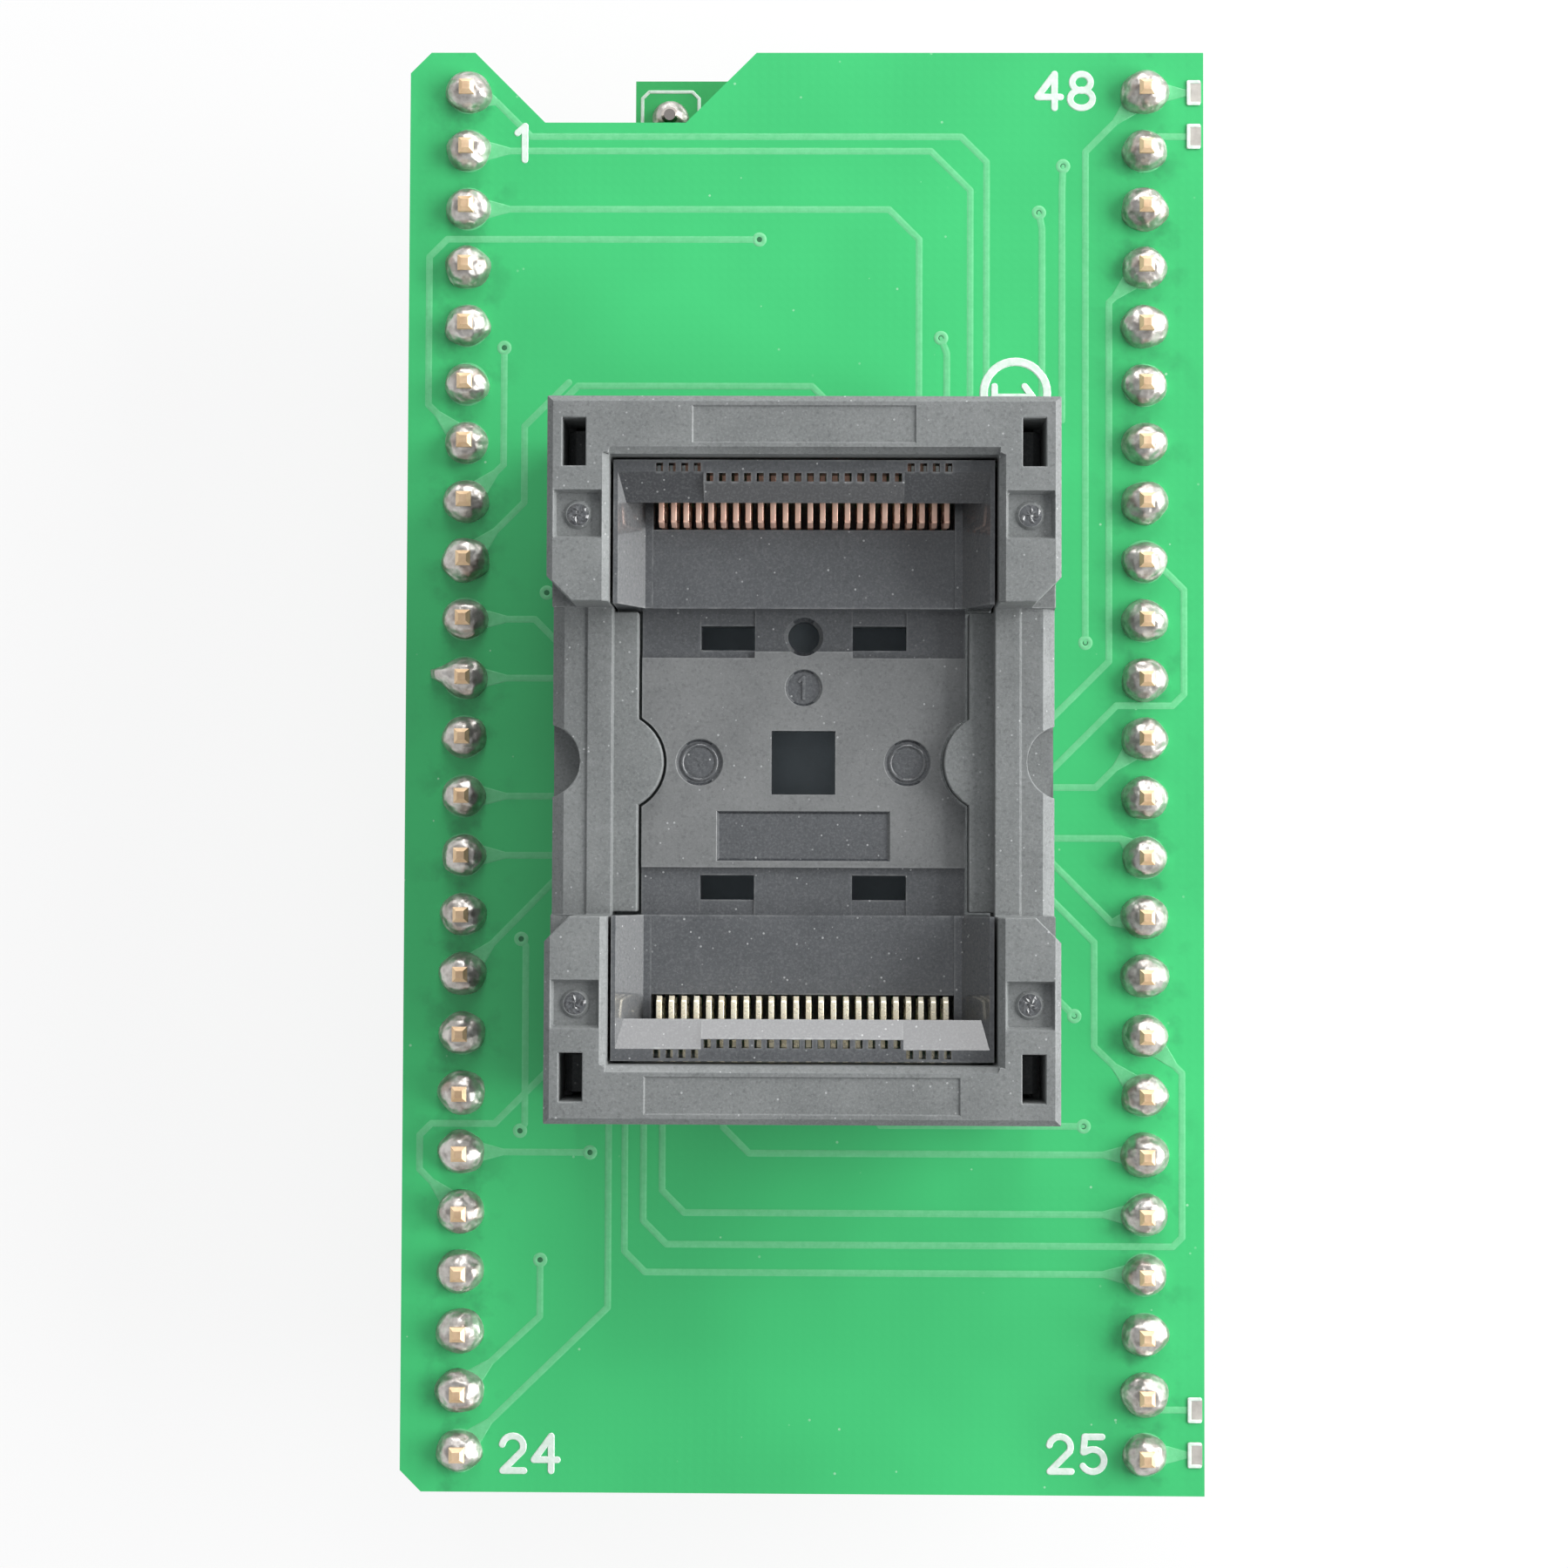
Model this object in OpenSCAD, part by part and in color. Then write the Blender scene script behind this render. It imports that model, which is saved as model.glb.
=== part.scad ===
// Programming adapter: an open-top press-to-open test socket for a 48-lead flat package,
// on a stack of two circuit boards that plugs into a wide 48-pin DIP socket.
// Millimetres. +Z is up out of the socket, +Y points to the notched end (rear), and the
// origin is under the middle of the boards, at the tips of the plug pins.

/* [Boards] */
// Thickness of both boards
board_t = 1.6; // [1.2:0.1:2.4]
// Bare board beyond the outer pins, at each end
end_margin = 1.75; // [1.3:0.01:3]
// Bare board beside the link pins, on each long side
side_margin = 2.54; // [1.6:0.01:5]
// Length of the cut across each left corner
corner_cut = 0.9; // [0.3:0.1:1.2]
// Place of the notch's middle along the rear edge
notch_x = -8.25; // [-9:0.05:-7]
// Width of the notch at its floor
notch_floor_w = 6.1; // [4:0.1:7]
// Depth of the notch from the rear edge
notch_depth = 3.05; // [2:0.05:4]
// Bare board left of the first plug pin, up to the side of the lower board's notch
plug_edge = 1.56; // [1.3:0.02:2]

/* [Link header] */
// Pins in each row, on both headers
pins_per_row = 24; // [22:1:28]
// Pitch of the pins, on both headers
pin_pitch = 2.54; // [2.4:0.01:2.7]
// Distance between the two rows that join the boards
link_row_gap = 29.21; // [26:0.01:34]
// Side of a square link pin
link_pin_side = 0.64; // [0.5:0.02:0.7]
// Length that the link pins stand out past both boards
link_pin_rise = 1.15; // [1:0.05:1.6]
// Height of the strip between the boards
link_strip_h = 2.54; // [2:0.02:4]
// Width of the strip between the boards
link_strip_w = 2.4; // [2:0.05:3]
// Drilled hole for a link pin
link_hole_d = 1.02; // [1:0.02:1.3]

/* [Plug header] */
// Distance between the two rows that plug into the programmer
plug_row_gap = 15.24; // [14:0.02:18]
// Distance that the plug header lies to the right of the boards' middle
plug_offset = 1.524; // [0:0.001:2.5]
// Diameter of a plug pin below its strip
plug_pin_d = 0.5; // [0.4:0.02:0.7]
// Length of a plug pin below its strip
plug_pin_drop = 4.2; // [3:0.1:7]
// Diameter of a plug pin in its strip and board
plug_shank_d = 0.76; // [0.72:0.02:0.86]
// Length that the shanks stand out above the lower board
plug_pin_rise = 0.9; // [0.8:0.05:1.2]
// Height of the plug strips
plug_strip_h = 2.8; // [2:0.1:4]
// Width of the plug strips
plug_strip_w = 2.3; // [2:0.05:3]
// Drilled hole for a plug pin's shank
plug_hole_d = 0.9; // [0.88:0.02:1.2]

/* [Solder] */
// Diameter of a pin's solder joint on the board
joint_d = 1.86; // [1.6:0.02:2.1]
// Height of a pin's solder joint
joint_h = 0.84; // [0.6:0.02:0.9]
// Diameter of a plug pin's solder joint on the lower board
plug_joint_d = 1.66; // [1.5:0.02:2]
// Diameter of a contact tail's solder joint
tail_joint_d = 0.8; // [0.7:0.02:0.9]
// Height of a contact tail's solder joint
tail_joint_h = 0.5; // [0.3:0.02:0.6]
// Thickness of the tinned pads
pad_t = 0.05; // [0.03:0.01:0.1]
// Width of an edge pad on the upper board
edge_pad_w = 0.55; // [0.4:0.05:0.8]
// Length of an edge pad along the board's edge
edge_pad_l = 0.9; // [0.6:0.05:1.2]
// Gap between an edge pad and the board's right edge
edge_pad_inset = 0.1; // [0.05:0.01:0.3]

/* [Package] */
// Length of the package over its leads
lead_span = 20; // [19.4:0.1:20.6]
// Width of the package body
package_w = 12; // [11.9:0.05:12.6]
// Contacts in each row
contacts_per_row = 24; // [16:2:24]
// Pitch of the contacts
contact_pitch = 0.5; // [0.46:0.01:0.52]
// Height of the package's seat above the board
seat_z = 6.5; // [6:0.05:7.5]

/* [Contacts] */
// Thickness of the sheet that the contacts are stamped from
contact_t = 0.22; // [0.16:0.02:0.26]
// Width of a contact's strips
arm_w = 0.26; // [0.2:0.02:0.3]
// Distance of the bend's centre beyond the lead ends
pivot_out = 0.4; // [0.3:0.02:0.5]
// Drop from the package's seat to the bend's centre
pivot_drop = 1.3; // [1.2:0.05:1.5]
// Outer radius of the round root of an arm
root_r = 0.5; // [0.44:0.02:0.54]
// Distance that a tip reaches over the lead ends
tip_reach = 0.55; // [0.4:0.05:0.6]
// Distance that a lever reaches out from the bend's centre
lever_out = 2.7; // [2.5:0.05:2.8]
// Height of a lever's end above the bend's centre
lever_up = 1; // [0.8:0.05:1.1]
// Angle that the arms swing when the cover is pressed
arm_swing = 36; // [28:1:38]
// Distance between the two staggered rows of tails at each end
tail_stagger = 1.9; // [1.6:0.05:2.1]
// Length of the tails below the upper board
tail_drop = 0.8; // [0.7:0.05:1]
// Drilled hole for a contact tail
tail_hole_d = 0.5; // [0.46:0.02:0.6]

/* [Cover] */
// Reach of the cover beyond the lead ends, at each end
cover_reach = 4.35; // [4.25:0.05:5]
// Rise of the cover's top above the package's seat
cover_rise = 3.1; // [2.9:0.05:3.6]
// Height of the cover, from its top to its lower edge
cover_h = 5.2; // [4.9:0.05:5.6]
// Travel of the cover when it is pressed
press_travel = 2; // [1.6:0.05:2.2]
// Width of the bars across the cover's ends
end_bar_w = 2.3; // [2.1:0.05:2.5]
// Width of the cover's four legs
leg_w = 2.45; // [2.3:0.05:2.5]
// Length of the low rails between the legs
rail_l = 12.4; // [11.6:0.1:12.6]
// Drop from the top of the legs to the rails
rail_drop = 2.6; // [2.3:0.05:2.8]
// Cut along the outer edge of the rails
rail_chamfer = 0.6; // [0.4:0.05:0.7]
// Width of the raised inner part of the rails
rail_step_w = 1.04; // [0.8:0.02:1.3]
// Drop from the raised part of the rails to their outer part
rail_step = 0.08; // [0.04:0.01:0.15]
// Cut along the inner top edges of the legs and end bars
window_cut = 0.25; // [0.1:0.05:0.4]
// Cut along the outer top edges of the legs and end bars
edge_cut = 0.25; // [0.1:0.05:0.4]
// Drop from the rails to the inner ledges
ledge_drop = 0.7; // [0.5:0.05:0.9]
// Thickness of the inner ledges
ledge_t = 1.4; // [1.2:0.05:1.6]
// Width of the inner ledges
ledge_w = 0.98; // [0.8:0.02:1.1]
// Radius of the round lobes on the ledges
lobe_r = 2; // [1.8:0.05:2.1]
// Radius of the round recesses in the rails' outer edge
recess_r = 1.5; // [1.2:0.05:1.6]
// Depth of the round recesses and how far they reach into the rails
recess_depth = 1.14; // [0.9:0.02:1.2]
// Side of the square pockets on the legs
pocket_side = 1.92; // [1.7:0.02:2]
// Depth of the square pockets
pocket_depth = 0.35; // [0.2:0.05:0.5]
// Distance that the square pockets' walls lean outwards
pocket_lean = 0.12; // [0.04:0.02:0.2]
// Diameter of the round pip in each pocket
pip_d = 0.93; // [0.7:0.02:1.1]
// Width of the latch slots
latch_slot_w = 0.92; // [0.9:0.02:1]
// Length of the latch slots
latch_slot_l = 1.9; // [1.6:0.05:2]
// Distance of the latch slots' middle from the cover's ends
latch_inset = 1.85; // [1.6:0.05:2]
// Distance of the pockets' middle from the cover's ends
pocket_inset = 4.71; // [4.5:0.01:5.2]
// Radius of the rounded rib that presses the levers
nose_r = 0.35; // [0.3:0.01:0.4]
// Length of the shallow panel on the rear end bar
rear_panel_l = 8.84; // [7:0.02:12]
// Length of the shallow panel on the front end bar
front_panel_l = 12.4; // [7:0.1:13]
// Width of both shallow panels
panel_w = 1.5; // [1:0.05:1.6]
// Depth of both shallow panels
panel_depth = 0.06; // [0.03:0.01:0.12]
// Outer wall of the cover at its ends
skirt_t = 0.72; // [0.6:0.02:0.8]

/* [Guide] */
// Rise of the guide's top above the package's seat
guide_rise = 2.1; // [1.9:0.05:2.5]
// Wall of the guide beside the package
guide_wall = 1.48; // [1.3:0.02:1.8]
// Flat top of the guide beside its slopes
guide_lip = 0.18; // [0.1:0.02:0.3]
// Width of the narrow land between the seat and a side slope
land_w = 0.32; // [0.2:0.02:0.4]
// Rise of the narrow land above the seat
land_h = 0.1; // [0.04:0.02:0.2]
// Drop from the package's seat to the middle floor
floor_drop = 1.2; // [0.9:0.05:1.4]
// Rise of the pad in the middle of the floor
floor_pad_t = 0.2; // [0.1:0.02:0.3]
// Half the length of the pad on the floor
floor_pad_l = 4.28; // [4:0.02:4.4]
// Length of a seat platform, from the floor to the contacts
platform_l = 3.2; // [2.8:0.05:3.3]
// Rise of the ramps' foot above the package's seat
ramp_rise = 1.5; // [1.2:0.05:1.7]
// Run of the ramps over the middle contacts
ramp_run = 0.75; // [0.6:0.05:0.85]
// Extra run of the ramps over the outer contacts
ramp_extra = 0.4; // [0.3:0.05:0.45]
// Contacts at each end of a row that lie under the longer ramps
outer_contacts = 4; // [2:1:6]
// Thickness of the roof over the contacts, at its edge
roof_edge_t = 0.15; // [0.1:0.01:0.2]
// Width of the windows over the levers
lever_window_w = 0.28; // [0.2:0.02:0.32]
// Length of the windows over the levers
lever_window_l = 0.34; // [0.24:0.02:0.36]
// Side of the square window in the floor
floor_window = 2.6; // [2:0.1:3]
// Width of the four slots in the floor
floor_slot_w = 2.2; // [1.6:0.1:2.6]
// Length of the four slots in the floor
floor_slot_l = 1; // [0.6:0.05:1.1]
// Diameter of the round dimples in the floor
dimple_d = 1.95; // [1.4:0.05:2.2]
// Depth of the shallow marks in the floor
mark_depth = 0.12; // [0.06:0.01:0.18]

/* [Base] */
// Step from the cover's sides in to the base's sides
base_inset = 0.2; // [0:0.05:0.4]
// Height of the feet that lift the base off the board
base_lift = 0.3; // [0.2:0.05:0.4]
// Diameter of the two locating pegs
peg_d = 1.5; // [1.2:0.05:1.6]
// Width of the latch hooks' tongues
hook_t = 0.5; // [0.4:0.02:0.52]
// Rise of a latch hook's nose
hook_nose_h = 0.6; // [0.5:0.02:0.7]

/* [Springs] */
// Outer diameter of the return springs
spring_d = 1.5; // [1.2:0.05:1.55]
// Diameter of the springs' wire
wire_d = 0.22; // [0.16:0.02:0.3]
// Turns of each spring
spring_turns = 7; // [5:1:9]
// Depth of the springs' seats in the base
spring_seat = 0.5; // [0.3:0.05:0.7]
// Roof of the cover above the springs
spring_roof = 1.25; // [1:0.05:1.5]

/* [Clearances] */
// Gap between the cover and the guide inside it
cover_gap = 0.12; // [0.1:0.01:0.2]
// Gap between an arm's round root and the cup that holds it
root_gap = 0.06; // [0.05:0.01:0.1]
// Gap between the press rib and a lever at full travel
nose_gap = 0.07; // [0.05:0.01:0.1]
// Gap on each side of a contact in its slot
slot_gap = 0.02; // [0.01:0.005:0.03]
// Gap between a latch hook and the cover
hook_gap = 0.06; // [0.05:0.01:0.08]
// Gap between the pressed cover and the base plate
stop_gap = 0.2; // [0.1:0.05:0.3]
// Gap around a spring and around a locating peg
loose_gap = 0.1; // [0.05:0.01:0.12]
// Gap between the package and the guide, on each side
package_gap = 0.1; // [0.05:0.01:0.15]

/* [Hidden] */
$fn = 48;
// Overlap that makes cuts run clean through a face
eps = 0.02;

// Boards and headers
row_l = (pins_per_row - 1) * pin_pitch;
board_w = link_row_gap + 2 * side_margin;
board_l = row_l + 2 * end_margin;
plug_strip_z = plug_pin_drop;
lower_z = plug_strip_z + plug_strip_h;
lower_top = lower_z + board_t;
upper_z = lower_top + link_strip_h;
upper_top = upper_z + board_t;
link_x = link_row_gap / 2;
pin_point = link_pin_side / 4;
strip_cut = pin_pitch / 8;
edge_pad_ends = [1.75, 3.65];

// Socket, measured from the top of the upper board
lead_end = lead_span / 2;
row_half = (contacts_per_row - 1) * contact_pitch / 2;
row_room = 0.2;
throat_x = max(package_w / 2 + package_gap, row_half + contact_t / 2 + row_room);
guide_x = throat_x + guide_wall;
window_x = guide_x + cover_gap;
cover_w = 2 * (window_x + leg_w);
cover_l = 2 * (lead_end + cover_reach);
window_y = cover_l / 2 - end_bar_w;
guide_y = window_y - cover_gap;
base_w = cover_w - 2 * base_inset;
base_l = cover_l - 2 * base_inset;
cover_top = seat_z + cover_rise;
cover_foot = cover_top - cover_h;
plate_top = cover_foot - press_travel - stop_gap;
guide_top = seat_z + guide_rise;
floor_z = seat_z - floor_drop;
ramp_foot = seat_z + ramp_rise;
rail_top = cover_top - rail_drop;
ledge_top = rail_top - ledge_drop;
ledge_x = window_x - ledge_w;
middle_x = ledge_x - cover_gap;
middle_y = rail_l / 2;
platform_y = middle_y + platform_l;
pocket_x = window_x + leg_w / 2;
pocket_y = cover_l / 2 - pocket_inset;
ramp_gap = 0.3;
ramp_y = lead_end + ramp_gap;
roof_z = ramp_foot - roof_edge_t;

// Contacts
pivot_y = lead_end + pivot_out;
pivot_z = seat_z - pivot_drop;
tip_y = lead_end - tip_reach;
tip_lift = 0.1;
tip_z = seat_z + tip_lift + arm_w / 2;
brow_rise = 0.35;
elbow_rise = 0.42;
cup_in = root_r + root_gap;
cup_out = cup_in + arm_w;
cup_from = 195;
cup_to = 318;
stem_foot = 0.7;
comb_y_in = pivot_y - tail_stagger / 2 - arm_w;
comb_y_out = pivot_y + tail_stagger / 2 + arm_w;
comb_gap = 0.08;
comb_top = pivot_z - cup_out - comb_gap;
guide_foot = comb_top;
comb_side = 0.5;
comb_wall = 0.35;
comb_x = row_half + contact_t / 2 + comb_side;

// Press rib of the cover, set so that it just clears the levers at full travel
lever_rest = atan2(lever_up, lever_out);
lever_pressed = lever_rest - arm_swing;
nose_inset = 0.1;
nose_y = pivot_y + lever_out - nose_inset;
lever_z_pressed = pivot_z + (nose_y - pivot_y) * tan(lever_pressed);
nose_z = lever_z_pressed + (nose_r + arm_w / 2 + nose_gap) / cos(lever_pressed) + press_travel;
bar_room = 0.2;
bar_foot = nose_z + bar_room;

// Latch hooks and springs
latch_out = 0.15;
latch_x = window_x + leg_w / 2 + latch_out;
latch_y = cover_l / 2 - latch_inset;
latch_in = latch_x - latch_slot_w / 2;
hook_x = latch_in + hook_gap;
hook_end_gap = 0.2;
hook_l = latch_slot_l - 2 * hook_end_gap;
hook_sink = 0.1;
hook_top = cover_top - press_travel - hook_sink;
hook_catch = hook_top - hook_nose_h;
spring_z = plate_top - spring_seat;
spring_top = cover_top - pocket_depth - spring_roof;
spring_mean_r = (spring_d - wire_d) / 2;
peg_inset = 1;
peg_y = base_l / 2 - peg_inset;
peg_l = 1.3;

// Colours of the real materials
mask_green = [0.16, 0.58, 0.30];
socket_black = [0.16, 0.17, 0.18];
strip_black = [0.08, 0.08, 0.09];
solder_grey = [0.68, 0.67, 0.64];
pin_gold = [0.86, 0.68, 0.38];
contact_gold = [0.88, 0.66, 0.40];
spring_steel = [0.72, 0.73, 0.75];

// Places at both ends and both sides
module mirrored(axis) {
    children();
    mirror(axis) children();
}

module at_corners(x, y) {
    for (sx = [-1, 1], sy = [-1, 1])
        translate([sx * x, sy * y, 0]) children();
}

module along_row() {
    for (i = [0 : pins_per_row - 1])
        translate([0, row_l / 2 - i * pin_pitch, 0]) children();
}

module at_contacts() {
    for (i = [0 : contacts_per_row - 1])
        translate([i * contact_pitch - row_half, 0, 0]) children();
}

module on_socket() {
    translate([0, 0, upper_top]) children();
}

// A block given by the limits of its sides
module block(x, y, z) {
    translate([x[0], y[0], z[0]]) cube([x[1] - x[0], y[1] - y[0], z[1] - z[0]]);
}

// A profile drawn as (y, z), extruded along X about the middle
module extrude_x(width) {
    rotate([90, 0, 90]) linear_extrude(width, center = true) children();
}

// A profile drawn as (x, z), extruded along Y between two places
module extrude_y(from, to) {
    translate([0, to, 0]) rotate([90, 0, 0]) linear_extrude(to - from) children();
}

// A flat strip with round ends, from one point to another
module bar2d(p, q, width) {
    run = q - p;
    translate(p) rotate(atan2(run[1], run[0])) translate([0, -width / 2]) square([norm(run), width]);
    translate(p) circle(d = width);
    translate(q) circle(d = width);
}

// Profile of a sunk panel whose walls lean outwards, with its rim at z = 0
module panel_profile(half, depth, lean) {
    polygon([[lean - half, -depth], [half - lean, -depth], [half + lean, depth], [-half - lean, depth]]);
}

// Cutters for sunk panels: one with straight sides, one round
module panel_cutter(width, length, depth, lean) {
    intersection() {
        extrude_x(width + 4 * lean) panel_profile(length / 2, depth, lean);
        extrude_y(-length / 2 - 2 * lean, length / 2 + 2 * lean) panel_profile(width / 2, depth, lean);
    }
}

module disc_cutter(diameter, depth) {
    half = diameter / 2;
    rotate_extrude() polygon([[0, -depth], [half - depth, -depth], [half + depth, depth], [0, depth]]);
}

// Place of a plug row: side is -1 on the left and 1 on the right
function plug_x(side) = plug_offset + side * plug_row_gap / 2;

// Boards
module board_outline() {
    half_w = board_w / 2;
    half_l = board_l / 2;
    polygon([
        [half_w, half_l], [half_w, -half_l],
        [-half_w + corner_cut, -half_l], [-half_w, -half_l + corner_cut],
        [-half_w, half_l - corner_cut], [-half_w + corner_cut, half_l]
    ]);
}

module notch_outline() {
    half_floor = notch_floor_w / 2;
    half_mouth = half_floor + notch_depth;
    translate([notch_x, board_l / 2])
        polygon([
            [-half_mouth - eps, eps], [-half_floor, -notch_depth],
            [half_floor, -notch_depth], [half_mouth + eps, eps]
        ]);
}

// The lower board's notch: the same, but its right side stops short of the first plug pin
module lower_notch_outline() {
    intersection() {
        notch_outline();
        translate([-board_w / 2, 0]) square([board_w / 2 + plug_x(-1) - plug_edge, board_l]);
    }
}

module link_holes() {
    for (side = [-1, 1])
        translate([side * link_x, 0]) along_row() circle(d = link_hole_d);
}

module plug_holes() {
    for (side = [-1, 1])
        translate([plug_x(side), 0]) along_row() circle(d = plug_hole_d);
}

module at_tails() {
    for (i = [0 : contacts_per_row - 1])
        translate([i * contact_pitch - row_half, tail_y(i), 0]) children();
}

module tail_holes() {
    mirrored([0, 1, 0]) at_tails() circle(d = tail_hole_d);
}

module peg_holes() {
    mirrored([0, 1, 0]) translate([0, peg_y]) circle(d = peg_d + 2 * loose_gap);
}

module upper_board() {
    color(mask_green)
        translate([0, 0, upper_z])
            linear_extrude(board_t)
                difference() {
                    board_outline();
                    notch_outline();
                    link_holes();
                    tail_holes();
                    peg_holes();
                }
}

module lower_board() {
    color(mask_green)
        translate([0, 0, lower_z])
            linear_extrude(board_t)
                difference() {
                    board_outline();
                    lower_notch_outline();
                    link_holes();
                    plug_holes();
                }
}

// Header strips: one cell for each pin, with notched sides where a strip snaps off
module strip_outline(width) {
    half = width / 2;
    square([width - 2 * strip_cut, row_l + pin_pitch], center = true);
    along_row()
        polygon([
            [half, pin_pitch / 2 - strip_cut], [half - strip_cut, pin_pitch / 2],
            [strip_cut - half, pin_pitch / 2], [-half, pin_pitch / 2 - strip_cut],
            [-half, strip_cut - pin_pitch / 2], [strip_cut - half, -pin_pitch / 2],
            [half - strip_cut, -pin_pitch / 2], [half, strip_cut - pin_pitch / 2]
        ]);
}

module link_strip(side) {
    color(strip_black)
        translate([side * link_x, 0, lower_top])
            linear_extrude(link_strip_h)
                difference() {
                    strip_outline(link_strip_w);
                    along_row() square(link_pin_side, center = true);
                }
}

module plug_strip(side) {
    color(strip_black)
        translate([plug_x(side), 0, plug_strip_z])
            linear_extrude(plug_strip_h)
                difference() {
                    strip_outline(plug_strip_w);
                    along_row() circle(d = plug_shank_d);
                }
}

// Square pins with bevelled points
module link_pin_profile() {
    half = link_pin_side / 2;
    low = lower_z - link_pin_rise;
    high = upper_top + link_pin_rise;
    polygon([
        [-half, low + pin_point], [-half + pin_point, low],
        [half - pin_point, low], [half, low + pin_point],
        [half, high - pin_point], [half - pin_point, high],
        [-half + pin_point, high], [-half, high - pin_point]
    ]);
}

module link_pin() {
    intersection() {
        extrude_y(-link_pin_side / 2, link_pin_side / 2) link_pin_profile();
        extrude_x(link_pin_side) link_pin_profile();
    }
}

module link_pins(side) {
    color(pin_gold) translate([side * link_x, 0, 0]) along_row() link_pin();
}

// Turned round pins: a slim pin below the strip, a shank through strip and board
module plug_pin() {
    tip = plug_pin_d / 4;
    rotate_extrude()
        polygon([
            [0, 0], [plug_pin_d / 2 - tip, 0], [plug_pin_d / 2, tip], [plug_pin_d / 2, plug_strip_z],
            [plug_shank_d / 2, plug_strip_z], [plug_shank_d / 2, lower_top + plug_pin_rise - tip],
            [plug_shank_d / 2 - tip, lower_top + plug_pin_rise], [0, lower_top + plug_pin_rise]
        ]);
}

module plug_pins(side) {
    color(pin_gold) translate([plug_x(side), 0, 0]) along_row() plug_pin();
}

// A dome of solder on a board, standing up from z = 0
module solder_dome(diameter, height) {
    ball_r = (diameter * diameter / 4 + height * height) / (2 * height);
    intersection() {
        translate([0, 0, height - ball_r]) sphere(ball_r);
        translate([-diameter, -diameter, 0]) cube([2 * diameter, 2 * diameter, height + eps]);
    }
}

module link_joint() {
    difference() {
        solder_dome(joint_d, joint_h);
        translate([0, 0, joint_h / 2]) cube([link_pin_side, link_pin_side, 2 * joint_h], center = true);
    }
}

module upper_joints(side) {
    color(solder_grey) translate([side * link_x, 0, upper_top]) along_row() link_joint();
}

module lower_joints(side) {
    color(solder_grey) translate([side * link_x, 0, lower_z]) along_row() mirror([0, 0, 1]) link_joint();
}

module plug_joints(side) {
    color(solder_grey)
        translate([plug_x(side), 0, lower_top])
            along_row()
                difference() {
                    solder_dome(plug_joint_d, joint_h);
                    translate([0, 0, -eps]) cylinder(d = plug_shank_d, h = 2 * joint_h);
                }
}

// Tinned pads
module edge_pads() {
    color(solder_grey)
        translate([board_w / 2 - edge_pad_inset - edge_pad_w, 0, upper_top])
            for (side = [-1, 1], end_gap = edge_pad_ends)
                translate([0, side * (board_l / 2 - end_gap) - edge_pad_l / 2, 0])
                    cube([edge_pad_w, edge_pad_l, pad_t]);
}

// Contacts: every other tail steps outwards, so the solder joints stand in two rows
function tail_y(i) = pivot_y + (i % 2 == 0 ? -1 : 1) * tail_stagger / 2;

module arm_profile() {
    pivot = [pivot_y, pivot_z];
    tip = [tip_y + arm_w / 2, tip_z];
    brow = tip + [arm_w / 2, brow_rise];
    elbow = [pivot_y, tip_z + elbow_rise];
    difference() {
        union() {
            translate(pivot) circle(root_r);
            bar2d(pivot, elbow, arm_w);
            bar2d(elbow, brow, arm_w);
            bar2d(brow, tip, arm_w);
            bar2d(pivot, pivot + [lever_out, lever_up], arm_w);
        }
        translate(pivot) circle(root_r - arm_w);
    }
}

module stem_profile(tail) {
    post_low = base_lift + stem_foot;
    difference() {
        union() {
            intersection() {
                translate([pivot_y, pivot_z]) circle(cup_out);
                translate([pivot_y, pivot_z])
                    polygon([
                        [0, 0],
                        [2 * cup_out * cos(cup_from), 2 * cup_out * sin(cup_from)],
                        [-2 * cup_out, -3 * cup_out], [2 * cup_out, -3 * cup_out],
                        [2 * cup_out * cos(cup_to), 2 * cup_out * sin(cup_to)]
                    ]);
            }
            translate([pivot_y - arm_w, post_low]) square([2 * arm_w, pivot_z - cup_in - post_low]);
            bar2d([tail, post_low], [pivot_y, post_low], arm_w);
            translate([tail - arm_w / 2, -board_t - tail_drop])
                square([arm_w, board_t + tail_drop + post_low]);
        }
        translate([pivot_y, pivot_z]) circle(cup_in);
    }
}

module contact_arms() {
    color(contact_gold) at_contacts() extrude_x(contact_t) arm_profile();
}

module contact_stems() {
    color(contact_gold)
        for (i = [0 : contacts_per_row - 1])
            translate([i * contact_pitch - row_half, 0, 0]) extrude_x(contact_t) stem_profile(tail_y(i));
}

module tail_joints() {
    color(solder_grey)
        translate([0, 0, -board_t])
            at_tails()
                mirror([0, 0, 1])
                    difference() {
                        solder_dome(tail_joint_d, tail_joint_h);
                        cube([contact_t, arm_w, 4 * tail_joint_h], center = true);
                    }
}

// Room for the cover's lobes to slide down past a fixed piece
module lobe_room() {
    translate([window_x, 0, 0]) cylinder(r = lobe_r + cover_gap, h = cover_top);
}

// Base: plate on feet, contact combs, guide seats, latch hooks and spring seats
module contact_slots() {
    at_contacts()
        block(
            [-contact_t / 2 - slot_gap, contact_t / 2 + slot_gap],
            [comb_y_in, comb_y_out],
            [0, comb_top + eps]
        );
}

module latch_hook() {
    nose_x = latch_x + latch_slot_w / 2 - hook_gap;
    extrude_y(-hook_l / 2, hook_l / 2)
        polygon([
            [hook_x, plate_top - eps], [hook_x + hook_t, plate_top - eps],
            [hook_x + hook_t, hook_catch], [nose_x, hook_catch],
            [nose_x, hook_catch + hook_nose_h / 3], [hook_x + hook_t, hook_top], [hook_x, hook_top]
        ]);
}

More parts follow.
